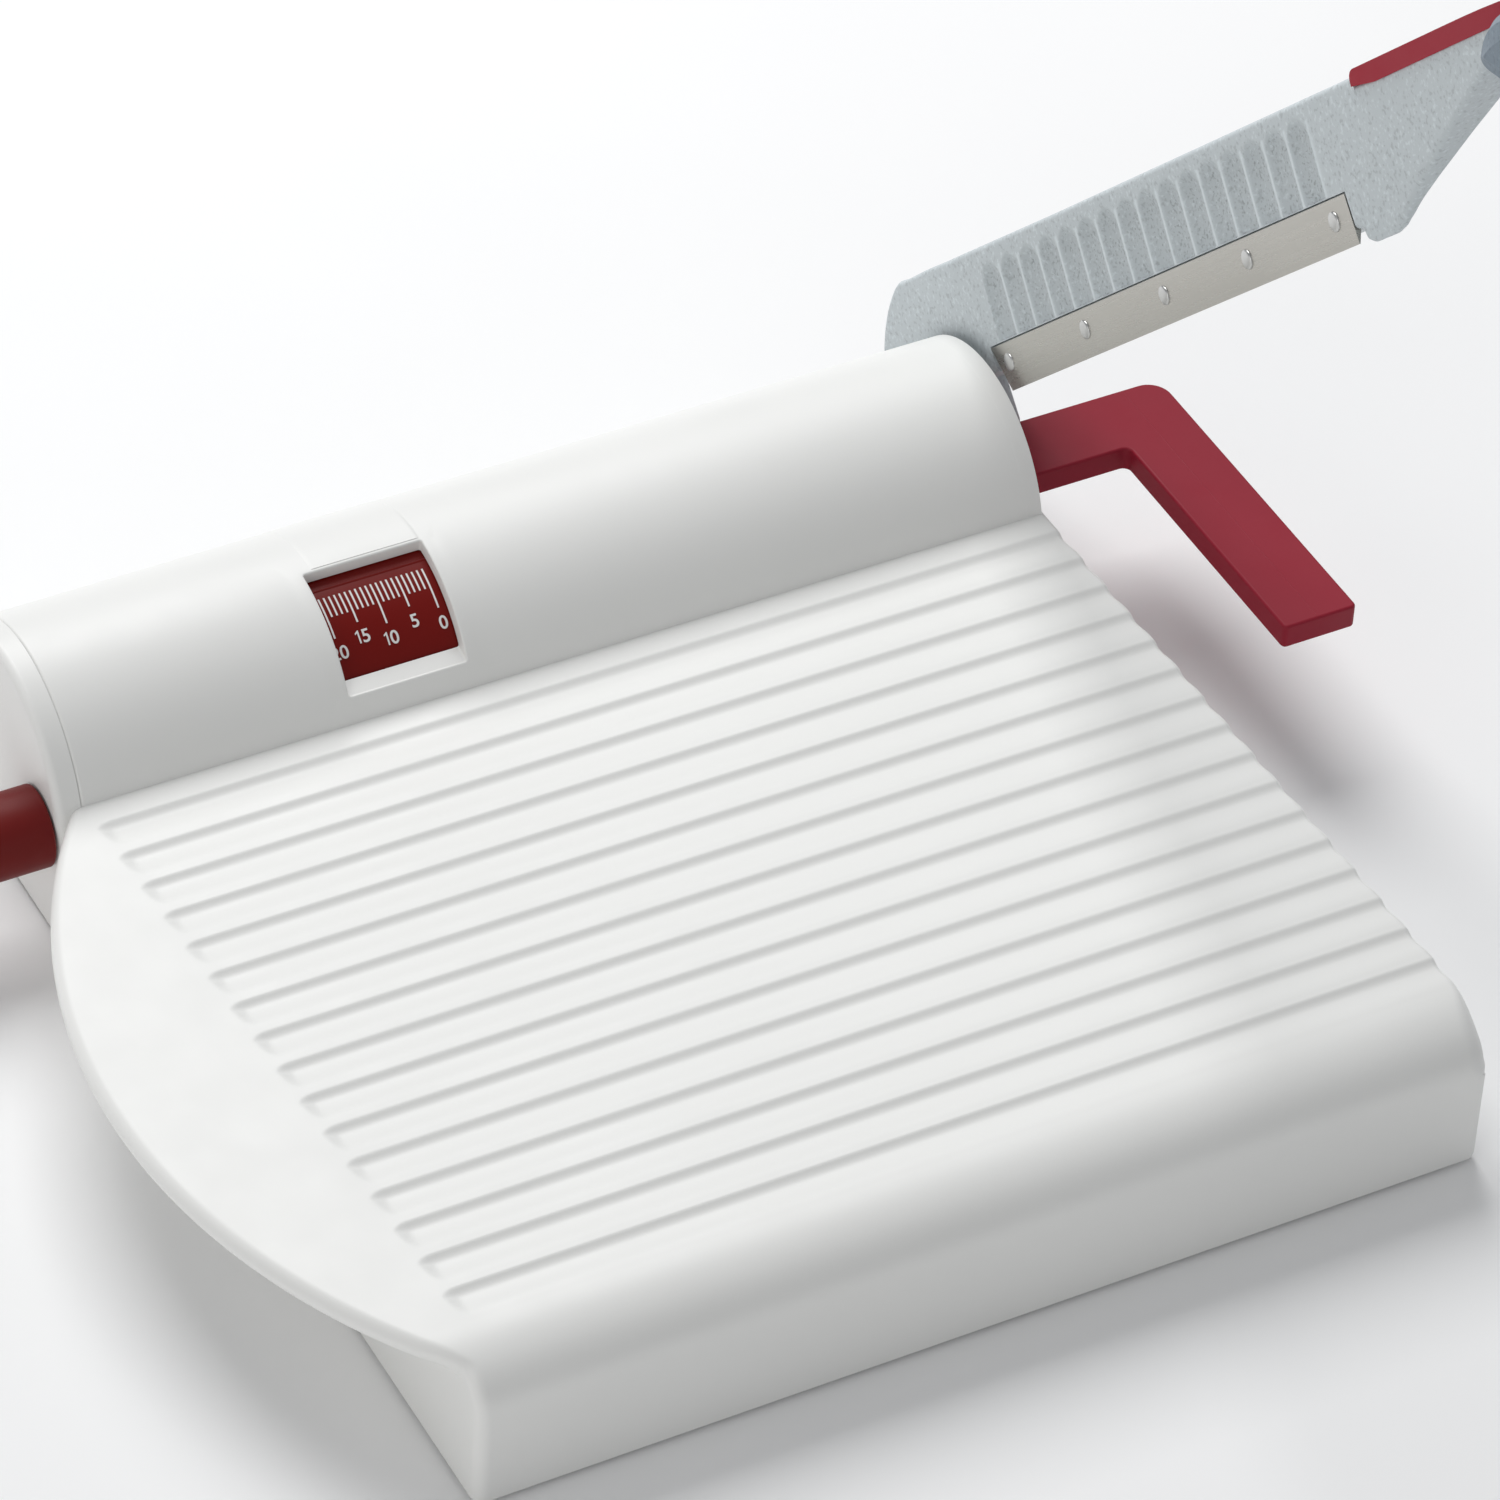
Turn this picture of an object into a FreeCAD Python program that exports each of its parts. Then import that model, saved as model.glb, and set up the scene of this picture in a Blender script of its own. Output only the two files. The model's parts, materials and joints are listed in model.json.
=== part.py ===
"""Lever slicer for the worktop: ribbed cutting platform, half-round housing with a scale window,
L-shaped slice stop moved by a lead screw, and a hinged lever with a riveted straight blade.

Frame, in millimetres: X runs along the housing from the knob to the lever, Y runs from the front
lip to the back, Z is up.  The origin is the centre of the base's flat underside; the rubber feet
stand FOOT_PROUD below it.
"""
import FreeCAD
import Part
import math
import os

V = FreeCAD.Vector
X_AXIS = V(1, 0, 0)
Z_AXIS = V(0, 0, 1)

# ---------------------------------------------------------------- driving dimensions
BASE_HEIGHT = 28.7            # platform surface above the underside
BASE_DEPTH = 200.0            # front lip to the back of the housing
HOUSING_LENGTH = 189.0        # end to end, without the left cap's proud face
HOUSING_RADIUS = 25.0
WALL = 2.4                    # moulded wall
FOOT_PROUD = 1.0

LEFT_X = -HOUSING_LENGTH / 2
RIGHT_X = HOUSING_LENGTH / 2
FRONT_Y = -BASE_DEPTH / 2
REAR_Y = BASE_DEPTH / 2 + 0.3
AXIS_Y = REAR_Y - HOUSING_RADIUS            # axis of the half-round housing
AXIS_Z = BASE_HEIGHT - 7.0
HOUSING_FRONT_Y = AXIS_Y - HOUSING_RADIUS

DECK_LEFT_X = LEFT_X + 1.5                  # outer face of the left wall
DECK_RIGHT_X = RIGHT_X + 0.8                # outer face of the right wall
DECK_THICKNESS = 4.5
LIP_RADIUS = 9.0
BULGE_RADIUS = 116.4                        # D-shaped overhang left of the wall
BULGE_CENTRE = (-4.25, -19.5)
GROOVE_COUNT = 16
GROOVE_PITCH = 8.37
GROOVE_DEPTH = 1.0
GROOVE_RADIUS = 6.0
FIRST_GROOVE_Y = HOUSING_FRONT_Y - 4.7
GROOVE_LEFT_ENDS = (-93.8, -89.6)           # rearmost and frontmost groove
RAIL_PROUD = 1.8                            # side rail below the platform's right edge
RAIL_TOP = BASE_HEIGHT - 9.7

COVER_THICKNESS = 2.0
CAP_THICKNESS_RIGHT = 3.0
CAP_PROUD_LEFT = 4.6
CAP_RIM = 3.0                               # rim of each cap that plugs into the shell

WINDOW_X = (-42.0, -20.0)
WINDOW_ANGLES = (28.0, 83.0)                # degrees above the housing's front horizontal
BRIDGE_X = (-41.3, -19.8)
BRIDGE_ANGLES = (83.0, 165.0)
BRIDGE_THICKNESS = 1.2

STOP_THICKNESS = 5.0
STOP_WIDTH = 15.0
STOP_TOP = BASE_HEIGHT + 2.0
STOP_FRONT_Y = 59.3                         # front edge of the bar that leaves the housing
STOP_LEG_X = 117.0                          # inner face of the leg at the set slice thickness
STOP_LEG_LENGTH = 55.8                      # from the inner corner to the leg's front end
STOP_BAR_END_X = -82.0
STOP_CORNER_RADIUS = 4.5
SLIDE_GAP = 0.1

SCALE_RADIUS = 22.3
SCALE_X = (-54.0, -7.0)
SCALE_ANGLES = (20.0, 89.0)
SCALE_ZERO_X = -21.5                        # tick 0 with the stop at the set position
SCALE_TICKS = 21
TICK_WIDTH = 0.32
TICK_HEIGHT = 0.08

SCREW_Y = 57.8                              # axis shared by the knob and the lead screw
SCREW_Z = AXIS_Z - 0.4
SCREW_RADIUS = 2.5
KNOB_RADIUS = 7.5
KNOB_LENGTH = 24.0

PIVOT_Y = 81.0
PIVOT_Z = 24.0
PIVOT_RADIUS = 3.0
HUB_RADIUS = 5.5
BORE_RADIUS = 4.3                           # bore in the arm for the bush and the bolt's head
HEAD_DEPTH = 2.4
WASHER_ROOM = 0.6
LEVER_RISE = 45.9                           # degrees above the horizontal as stored
LEVER_INNER_X = RIGHT_X + 2.1
LEVER_THICKNESS = 8.0
LEVER_OUTER_X = LEVER_INNER_X + LEVER_THICKNESS
BLADE_THICKNESS = 1.2
RIVET_COUNT = 5
RIVET_PITCH = 34.45
RUNNING_FIT = 0.05

nodes = {}


# ---------------------------------------------------------------- helpers
def block(x, y, z):
    """Box from three (low, high) pairs."""
    return Part.makeBox(x[1] - x[0], y[1] - y[0], z[1] - z[0], V(x[0], y[0], z[0]))


def rod(x0, x1, y, z, radius):
    """Cylinder along X."""
    return Part.makeCylinder(radius, x1 - x0, V(x0, y, z), X_AXIS)


def tube(x0, x1, y, z, outer, inner):
    """Hollow cylinder along X."""
    return rod(x0, x1, y, z, outer).cut(rod(x0 - 1, x1 + 1, y, z, inner))


def post(x, y, z0, z1, radius):
    """Upright cylinder."""
    return Part.makeCylinder(radius, z1 - z0, V(x, y, z0), Z_AXIS)


def extrude_x(edges, x0, x1):
    """Solid from a closed YZ outline, drawn at X = x0, carried to x1."""
    return Part.Face(Part.Wire(edges)).extrude(V(x1 - x0, 0, 0))


def closed_lines(points):
    """Straight edges through the points and back to the first."""
    return [Part.LineSegment(a, b).toShape() for a, b in zip(points, points[1:] + points[:1])]


def arc(a, b, c):
    """Circular edge through three points."""
    return Part.Arc(a, b, c).toShape()


def line(a, b):
    """Straight edge."""
    return Part.LineSegment(a, b).toShape()


def on_housing(x, radius, angle):
    """Point at a radius and an angle, in degrees, above the front horizontal of the housing."""
    turn = math.radians(angle)
    return V(x, AXIS_Y - radius * math.cos(turn), AXIS_Z + radius * math.sin(turn))


def housing_sector(x, inner, outer, angles):
    """Curved slab concentric with the housing."""
    low, high = angles
    mid = (low + high) / 2
    x0, x1 = x
    edges = [
        arc(on_housing(x0, outer, low), on_housing(x0, outer, mid), on_housing(x0, outer, high)),
        line(on_housing(x0, outer, high), on_housing(x0, inner, high)),
        arc(on_housing(x0, inner, high), on_housing(x0, inner, mid), on_housing(x0, inner, low)),
        line(on_housing(x0, inner, low), on_housing(x0, outer, low)),
    ]
    return extrude_x(edges, x0, x1)


def arch(x0, x1, radius, bottom):
    """Half-round arch with straight legs down to a height."""
    front = V(x0, AXIS_Y - radius, AXIS_Z)
    back = V(x0, AXIS_Y + radius, AXIS_Z)
    edges = [
        arc(front, on_housing(x0, radius, 90), back),
        line(back, V(x0, back.y, bottom)),
        line(V(x0, back.y, bottom), V(x0, front.y, bottom)),
        line(V(x0, front.y, bottom), front),
    ]
    return extrude_x(edges, x0, x1)


def round_edges(shape, radius, picks):
    """Fillet the edges whose middle point passes the test."""
    chosen = [e for e in shape.Edges if picks(e.CenterOfMass)]
    return shape.makeFillet(radius, chosen)


def lever_point(along, across, x=LEVER_INNER_X):
    """Point on the lever: along it from the pivot, and across it towards the spine."""
    turn = math.radians(LEVER_RISE)
    y = PIVOT_Y - along * math.cos(turn) + across * math.sin(turn)
    z = PIVOT_Z + along * math.sin(turn) + across * math.cos(turn)
    return V(x, y, z)


def lever_slab(points, x0, x1):
    """Straight-sided slab from (along, across) points of the lever."""
    return extrude_x(closed_lines([lever_point(a, t, x0) for a, t in points]), x0, x1)


def lever_rod(along, across, x0, x1, radius):
    """Cylinder along X at a place on the lever."""
    centre = lever_point(along, across)
    return rod(x0, x1, centre.y, centre.z, radius)


# ---------------------------------------------------------------- base
COVER_X = (DECK_LEFT_X + WALL + 0.2, RIGHT_X - CAP_THICKNESS_RIGHT - 0.3)
COVER_Y = (FRONT_Y + WALL + 0.2, REAR_Y - WALL - 0.2)
SCREW_PLACES = [(x, y) for x in (-80.0, 80.0) for y in (-86.0, 38.0)]
FOOT_PLACES = [(x, y) for x in (-76.0, 76.0) for y in (-72.0, 86.0)]
FOOT_RADIUS = 6.0
FOOT_SEAT = 1.2


def deck_outline(z):
    """Plan of the platform: straight right, front and back edges, arc on the left."""
    cx, cy = BULGE_CENTRE
    half_chord = math.sqrt(BULGE_RADIUS ** 2 - (DECK_LEFT_X - cx) ** 2)
    back = V(DECK_LEFT_X, HOUSING_FRONT_Y, z)
    front = V(DECK_LEFT_X, cy - half_chord, z)
    reach = math.sqrt(BULGE_RADIUS ** 2 - (HOUSING_FRONT_Y - cy) ** 2)
    start = V(min(cx - reach, back.x), HOUSING_FRONT_Y, z)
    return [
        arc(start, V(cx - BULGE_RADIUS, cy, z), front),
        line(front, V(DECK_LEFT_X, FRONT_Y, z)),
        line(V(DECK_LEFT_X, FRONT_Y, z), V(DECK_RIGHT_X, FRONT_Y, z)),
        line(V(DECK_RIGHT_X, FRONT_Y, z), V(DECK_RIGHT_X, HOUSING_FRONT_Y, z)),
        line(V(DECK_RIGHT_X, HOUSING_FRONT_Y, z), start),
    ]


def base_body():
    """Platform moulding: ribbed deck with the D-shaped overhang, on three walls."""
    under = BASE_HEIGHT - DECK_THICKNESS
    deck = Part.Face(Part.Wire(deck_outline(under))).extrude(V(0, 0, DECK_THICKNESS))
    x = (DECK_LEFT_X, DECK_RIGHT_X)
    y = (FRONT_Y, HOUSING_FRONT_Y)
    walls = block(x, y, (0, under))
    hollow = block((x[0] + WALL, x[1] - WALL), (y[0] + WALL, y[1] + 1), (-1, under))
    body = deck.fuse(walls.cut(hollow)).removeSplitter()
    corner = block((-140, 140), (FRONT_Y - 1, FRONT_Y + LIP_RADIUS), (BASE_HEIGHT - LIP_RADIUS, 60))
    lip = rod(-140, 140, FRONT_Y + LIP_RADIUS, BASE_HEIGHT - LIP_RADIUS, LIP_RADIUS)
    body = body.cut(corner.cut(lip))
    inner_lip = rod(x[0], x[1], FRONT_Y + LIP_RADIUS, BASE_HEIGHT - LIP_RADIUS, LIP_RADIUS)
    inner_lip = inner_lip.cut(rod(-140, 140, FRONT_Y + LIP_RADIUS, BASE_HEIGHT - LIP_RADIUS,
                                  LIP_RADIUS - WALL))
    quarter = block(x, (FRONT_Y, FRONT_Y + LIP_RADIUS), (BASE_HEIGHT - LIP_RADIUS, BASE_HEIGHT))
    body = body.fuse(inner_lip.common(quarter))
    for k in range(GROOVE_COUNT):
        groove_y = FIRST_GROOVE_Y - GROOVE_PITCH * k
        cutter_z = BASE_HEIGHT - GROOVE_DEPTH + GROOVE_RADIUS
        left = groove_left_end(k)
        body = body.cut(rod(left, 140, groove_y, cutter_z, GROOVE_RADIUS))
    for sx, sy in SCREW_PLACES:
        boss = post(sx, sy, COVER_THICKNESS, under + 0.5, 4.0)
        body = body.fuse(boss).cut(post(sx, sy, COVER_THICKNESS - 1, 14.0, 1.4))
    return body.removeSplitter()


def groove_left_end(k):
    """Grooves start on a slanted line, nearer the right the further forward they lie."""
    rear, front = GROOVE_LEFT_ENDS
    return rear + (front - rear) * k / (GROOVE_COUNT - 1)


def side_rail():
    """Rail that stands proud of the right wall below the platform's edge."""
    rail = block((DECK_RIGHT_X, DECK_RIGHT_X + RAIL_PROUD), (FRONT_Y + 0.5, HOUSING_FRONT_Y - 1.5),
                 (0, RAIL_TOP))
    outer = DECK_RIGHT_X + RAIL_PROUD
    return round_edges(rail, 1.2, lambda c: abs(c.x - outer) < 0.01)


def housing_shell():
    """Arched housing with the scale window and a seat for the bridge strip."""
    x1 = RIGHT_X - CAP_THICKNESS_RIGHT
    inner = HOUSING_RADIUS - WALL + 0.1
    shell = arch(LEFT_X, x1, HOUSING_RADIUS, 0).cut(arch(LEFT_X - 1, x1 + 1, inner, -1))
    under_front = block((LEFT_X - 1, x1 + 1), (HOUSING_FRONT_Y - 1, AXIS_Y), (-1, COVER_THICKNESS + 0.2))
    shell = shell.cut(under_front)
    shell = shell.cut(housing_sector(WINDOW_X, HOUSING_RADIUS - 6, HOUSING_RADIUS + 3, WINDOW_ANGLES))
    seat = housing_sector(BRIDGE_X, HOUSING_RADIUS - BRIDGE_THICKNESS, HOUSING_RADIUS + 2, BRIDGE_ANGLES)
    return shell.cut(seat)


def scale_bridge():
    """Thin strip let into the housing, from the window's top edge over to the back."""
    x = (BRIDGE_X[0] + 0.1, BRIDGE_X[1] - 0.1)
    angles = (BRIDGE_ANGLES[0] + 0.2, BRIDGE_ANGLES[1] - 0.3)
    strip = housing_sector(x, HOUSING_RADIUS - BRIDGE_THICKNESS, HOUSING_RADIUS, angles)
    mid = (WINDOW_X[0] + WINDOW_X[1]) / 2
    notch = housing_sector((mid - 0.8, mid + 0.8), HOUSING_RADIUS - 3, HOUSING_RADIUS + 1,
                           (BRIDGE_ANGLES[0] - 1, BRIDGE_ANGLES[0] + 2.5))
    return strip.cut(notch)


def cap_rim(x0, x1):
    """Rim that plugs into the shell's end."""
    outer = HOUSING_RADIUS - WALL
    return arch(x0, x1, outer, COVER_THICKNESS + 0.5).cut(arch(x0 - 1, x1 + 1, outer - 2.0, -1))


def left_end_cap():
    """End cap with the hole for the knob's bush."""
    outer_x = LEFT_X - CAP_PROUD_LEFT
    cap = arch(outer_x, LEFT_X, HOUSING_RADIUS, 0)
    cap = round_edges(cap, 1.5, lambda c: abs(c.x - outer_x) < 0.01 and c.z > 1)
    cap = cap.fuse(cap_rim(LEFT_X, LEFT_X + CAP_RIM))
    return cap.cut(rod(outer_x - 1, LEFT_X + 5, SCREW_Y, SCREW_Z, 5.0))


def right_end_cap():
    """End cap with the slot for the stop bar and the boss that holds the lever's pivot bolt."""
    x0 = RIGHT_X - CAP_THICKNESS_RIGHT
    cap = arch(x0, RIGHT_X, HOUSING_RADIUS, 0)
    cap = cap.fuse(cap_rim(x0 - CAP_RIM, x0))
    cap = cap.fuse(rod(x0 - 5.5, x0 + 0.5, PIVOT_Y, PIVOT_Z, HUB_RADIUS + 0.1))
    slot = block((x0 - 9, RIGHT_X + 1), (STOP_FRONT_Y - 0.3, STOP_FRONT_Y + STOP_WIDTH + 0.3),
                 (STOP_TOP - STOP_THICKNESS - 0.3, STOP_TOP + 0.3))
    return cap.cut(slot).cut(rod(x0 - 7, RIGHT_X + 1, PIVOT_Y, PIVOT_Z, PIVOT_RADIUS))


def slide_guide(x0, x1):
    """Block on the bottom cover with a close slot in which the stop bar slides."""
    high = block((x0, x1), (56.6, 77.0), (24.2, STOP_TOP + 2.4))
    low = block((x0, x1), (62.0, 77.0), (COVER_THICKNESS, 24.2))
    slot = block((x0 - 1, x1 + 1), (STOP_FRONT_Y - SLIDE_GAP, STOP_FRONT_Y + STOP_WIDTH + SLIDE_GAP),
                 (STOP_TOP - STOP_THICKNESS - SLIDE_GAP, STOP_TOP + SLIDE_GAP))
    mid = (x0 + x1) / 2
    return high.fuse(low).cut(slot).cut(post(mid, GUIDE_SCREW_Y, 0, 12, 1.4)).removeSplitter()


GUIDE_SCREW_Y = 69.5
GUIDE_X = {"slide_guide_left": (-80.0, -66.0), "slide_guide_right": (58.0, 80.0)}


def bottom_cover():
    """Flat cover of the underside, with seats for the feet and countersunk screw holes."""
    plate = block(COVER_X, COVER_Y, (0, COVER_THICKNESS))
    for fx, fy in FOOT_PLACES:
        plate = plate.cut(post(fx, fy, -1, FOOT_SEAT, FOOT_RADIUS))
    for sx, sy in screw_places():
        plate = plate.cut(post(sx, sy, -1, 1.2, 2.8)).cut(post(sx, sy, -1, 3, 1.4))
    return plate


def screw_places():
    """Every screw through the cover: four into the platform, one into each slide guide."""
    return SCREW_PLACES + [((x[0] + x[1]) / 2, GUIDE_SCREW_Y) for x in GUIDE_X.values()]


def cover_screws():
    """Self-tapping screws, as separate solids."""
    screws = [post(x, y, 0.2, 1.2, 2.7).fuse(post(x, y, 1.0, 10.0, 1.4)) for x, y in screw_places()]
    return Part.makeCompound(screws)


def rubber_feet():
    """Four rubber feet, as separate solids, set into the cover."""
    feet = []
    for x, y in FOOT_PLACES:
        foot = post(x, y, -FOOT_PROUD, FOOT_SEAT, FOOT_RADIUS)
        feet.append(round_edges(foot, 0.6, lambda c: c.z < -FOOT_PROUD + 0.01))
    return Part.makeCompound(feet)


def hexagon(x0, x1, y, z, flats):
    """Hexagonal prism along X."""
    corner = flats / math.sqrt(3)
    ring = [V(x0, y + corner * math.cos(math.radians(60 * k)), z + corner * math.sin(math.radians(60 * k)))
            for k in range(6)]
    return extrude_x(closed_lines(ring), x0, x1)


def pivot_parts():
    """Bolt with its head sunk in the arm's bore, nut, spacer and wave washer of the pivot."""
    boss_end = RIGHT_X - CAP_THICKNESS_RIGHT - 5.5
    head_x = LEVER_OUTER_X - HEAD_DEPTH
    top_x = LEVER_OUTER_X - 0.2
    bush_end = head_x - WASHER_ROOM
    bolt = rod(boss_end - 6, head_x, PIVOT_Y, PIVOT_Z, PIVOT_RADIUS)
    head = round_edges(rod(head_x, top_x, PIVOT_Y, PIVOT_Z, BORE_RADIUS - 0.15), 0.4,
                       lambda c: abs(c.x - top_x) < 0.01)
    nut = hexagon(boss_end - 4.5, boss_end, PIVOT_Y, PIVOT_Z, 10.0)
    return {
        "pivot_bolt": bolt.fuse(head).removeSplitter(),
        "pivot_nut": nut.cut(rod(boss_end - 7, boss_end + 1, PIVOT_Y, PIVOT_Z, PIVOT_RADIUS)),
        "pivot_spacer": tube(RIGHT_X, LEVER_INNER_X - 0.2, PIVOT_Y, PIVOT_Z, HUB_RADIUS, PIVOT_RADIUS),
        "wave_washer": tube(bush_end + 0.15, head_x, PIVOT_Y, PIVOT_Z, BORE_RADIUS - 0.2, PIVOT_RADIUS),
    }


def knob_bush():
    """Plain bush in the left cap for the lead screw."""
    return tube(LEFT_X - CAP_PROUD_LEFT, LEFT_X + 1.2, SCREW_Y, SCREW_Z, 5.0, SCREW_RADIUS + RUNNING_FIT)


# ---------------------------------------------------------------- slice stop and its scale
def stop_bar():
    """Flat L: a bar through the housing and a leg parallel to the blade."""
    outer_x = STOP_LEG_X + STOP_WIDTH
    back = STOP_FRONT_Y + STOP_WIDTH
    z = (STOP_TOP - STOP_THICKNESS, STOP_TOP)
    bar = block((STOP_BAR_END_X, outer_x), (STOP_FRONT_Y, back), z)
    leg = block((STOP_LEG_X, outer_x), (STOP_FRONT_Y - STOP_LEG_LENGTH, back), z)
    shape = bar.fuse(leg).removeSplitter()
    shape = round_edges(shape, STOP_CORNER_RADIUS,
                        lambda c: abs(c.x - outer_x) < 0.01 and abs(c.y - back) < 0.01)
    shape = round_edges(shape, 1.5,
                        lambda c: abs(c.x - STOP_LEG_X) < 0.01 and abs(c.y - STOP_FRONT_Y) < 0.01)
    for x, y in carriage_screw_places():
        shape = shape.cut(post(x, y, STOP_TOP - 3, STOP_TOP + 1, 1.2))
    return shape


def scale_carriage():
    """Curved scale plate on a foot that lies on the bar, with a gusset at each end."""
    band = housing_sector(SCALE_X, SCALE_RADIUS - 1.5, SCALE_RADIUS, SCALE_ANGLES)
    foot = block(SCALE_X, (56.2, 70.0), (STOP_TOP, STOP_TOP + 1.5))
    shape = band.fuse(foot)
    for x0 in (SCALE_X[0], SCALE_X[1] - 1.5):
        gusset = housing_sector((x0, x0 + 1.5), 8.0, SCALE_RADIUS - 1.2, (32.0, 84.0))
        above = block((x0 - 1, x0 + 3), (40, 100), (STOP_TOP + 1.0, 80))
        shape = shape.fuse(gusset.common(above))
    for x, y in carriage_screw_places():
        shape = shape.cut(post(x, y, STOP_TOP - 1, STOP_TOP + 3, 1.2))
    return shape.removeSplitter()


def carriage_screw_places():
    """The two screws that hold the carriage on the bar."""
    return [(SCALE_X[0] + 8.0, 66.5), (SCALE_X[1] - 8.0, 66.5)]


def carriage_screws():
    """Pan-head screws through the carriage's foot, as separate solids."""
    top = STOP_TOP + 1.5
    screws = [post(x, y, STOP_TOP - 3, top, 1.2).fuse(post(x, y, top, top + 1.2, 2.2))
              for x, y in carriage_screw_places()]
    return Part.makeCompound(screws)


def scale_marks():
    """Raised ticks, one each millimetre, longer at every fifth and every tenth."""
    ticks = []
    for k in range(SCALE_TICKS):
        low = 53.0 if k % 10 == 0 else (57.4 if k % 5 == 0 else 63.0)
        centre = SCALE_ZERO_X - k
        ticks.append(housing_sector((centre - TICK_WIDTH / 2, centre + TICK_WIDTH / 2), SCALE_RADIUS,
                                    SCALE_RADIUS + TICK_HEIGHT, (low, 73.0)))
    return Part.makeCompound(ticks)


def drive_nut():
    """Block under the carriage's front edge that the lead screw moves."""
    body = block((-36.0, -24.0), (53.4, 62.6), (16.6, STOP_TOP - STOP_THICKNESS))
    return body.cut(rod(-40, -20, SCREW_Y, SCREW_Z, SCREW_RADIUS + RUNNING_FIT))


# ---------------------------------------------------------------- knob and lead screw
def adjusting_knob():
    """Smooth round knob with a domed end, pressed on the lead screw."""
    x1 = LEFT_X - CAP_PROUD_LEFT - 0.3
    x0 = x1 - KNOB_LENGTH
    knob = rod(x0, x1, SCREW_Y, SCREW_Z, KNOB_RADIUS)
    knob = round_edges(knob, 2.5, lambda c: abs(c.x - x0) < 0.01)
    knob = round_edges(knob, 0.5, lambda c: abs(c.x - x1) < 0.01)
    return knob.cut(rod(x0 + 6.0, x1 + 1, SCREW_Y, SCREW_Z, SCREW_RADIUS))


def lead_screw():
    """Screw spindle from inside the knob to past the nut."""
    x0 = LEFT_X - CAP_PROUD_LEFT - 0.3 - KNOB_LENGTH + 6.0
    return rod(x0, 4.0, SCREW_Y, SCREW_Z, SCREW_RADIUS)


def retaining_ring():
    """Ring on the spindle behind the left cap."""
    return tube(LEFT_X + 2.2, LEFT_X + 3.4, SCREW_Y, SCREW_Z, 4.2, SCREW_RADIUS)


# ---------------------------------------------------------------- lever
BLADE_EDGE = 4.7               # across the lever, from the pivot
BLADE_TOP = 13.3
BLADE_HEEL = 22.0
BLADE_TOE = 170.0
BLADE_GAP = 0.3                # between the blade and its recess, at the top and the toe
SPINE = 30.3
LOBE_RADIUS = 33.6
LOBE_ANGLES = (112.0, 150.0)   # from the lever's length, where the lobe's round begins and ends
GRIP_START = 184.5
HANDLE_START = 237.0
HANDLE_HALF_WIDTH = 10.5
HANDLE_MID_X = (LEVER_INNER_X + LEVER_OUTER_X) / 2


def lever_outline(x):
    """Side outline of the arm: round rear lobe, hub, notch over the stop bar, toe and neck."""
    def p(along, across):
        return lever_point(along, across, x)

    def polar(radius, degrees):
        turn = math.radians(degrees)
        return p(radius * math.cos(turn), radius * math.sin(turn))

    hub = HUB_RADIUS
    begin, end = LOBE_ANGLES
    return [
        line(p(hub, 8.8), p(22.4, 8.8)),
        line(p(22.4, 8.8), p(22.9, 7.0)),
        line(p(22.9, 7.0), p(172.8, 7.0)),
        line(p(172.8, 7.0), p(173.4, 4.5)),
        arc(p(173.4, 4.5), p(181.5, 4.0), p(188.5, 6.3)),
        line(p(188.5, 6.3), p(228.8, 22.9)),
        line(p(228.8, 22.9), p(236.0, 24.2)),
        line(p(236.0, 24.2), p(246.0, 17.0)),
        line(p(246.0, 17.0), p(305.0, 10.0)),
        line(p(305.0, 10.0), p(305.0, 20.0)),
        line(p(305.0, 20.0), p(236.0, SPINE - 1.6)),
        line(p(236.0, SPINE - 1.6), p(GRIP_START, SPINE - 1.6)),
        line(p(GRIP_START, SPINE - 1.6), p(GRIP_START, SPINE)),
        line(p(GRIP_START, SPINE), polar(LOBE_RADIUS, begin)),
        arc(polar(LOBE_RADIUS, begin), polar(LOBE_RADIUS, (begin + end) / 2), polar(LOBE_RADIUS, end)),
        line(polar(LOBE_RADIUS, end), polar(hub, 196.0)),
        arc(polar(hub, 196.0), polar(hub, 278.0), polar(hub, 0.0)),
        line(polar(hub, 0.0), p(hub, 8.8)),
    ]


def rivet_places():
    """Rivet centres along the blade."""
    return [(26.0 + RIVET_PITCH * k, 9.7) for k in range(RIVET_COUNT)]


def blade_shape(x0, x1, slack=0.0):
    """Straight blade with a slanted heel."""
    points = [(BLADE_HEEL + 1.6, BLADE_EDGE), (BLADE_TOE + slack, BLADE_EDGE),
              (BLADE_TOE + slack, BLADE_TOP + slack), (BLADE_HEEL - 1.9, BLADE_TOP + slack)]
    return lever_slab(points, x0, x1)


def lever_arm():
    """Moulded arm with the recess for the blade and the tang inside the handle."""
    arm = extrude_x(lever_outline(LEVER_INNER_X), LEVER_INNER_X, LEVER_OUTER_X)
    recess = lever_slab([(10.0, 0.0), (BLADE_TOE + BLADE_GAP, 0.0),
                         (BLADE_TOE + BLADE_GAP, BLADE_TOP + BLADE_GAP),
                         (BLADE_HEEL - 2.0, BLADE_TOP + BLADE_GAP)],
                        LEVER_INNER_X - 1, LEVER_INNER_X + BLADE_THICKNESS)
    hub_keep = lever_rod(0, 0, LEVER_INNER_X - 2, LEVER_OUTER_X + 2, 9.0)
    arm = arm.cut(recess.cut(hub_keep))
    for a, t in rivet_places():
        arm = arm.cut(lever_rod(a, t, LEVER_INNER_X - 1, LEVER_OUTER_X + 1, 1.5))
    flange = lever_slab([(190.5, 6.3), (231.0, 18.9), (224.5, 21.5), (189.0, 10.0)],
                        LEVER_INNER_X - 1.6, LEVER_INNER_X + 0.5)
    arm = arm.fuse(flange)
    bore = lever_rod(0, 0, LEVER_INNER_X - 1, LEVER_OUTER_X + 1, BORE_RADIUS)
    return arm.cut(bore).removeSplitter()


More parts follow.
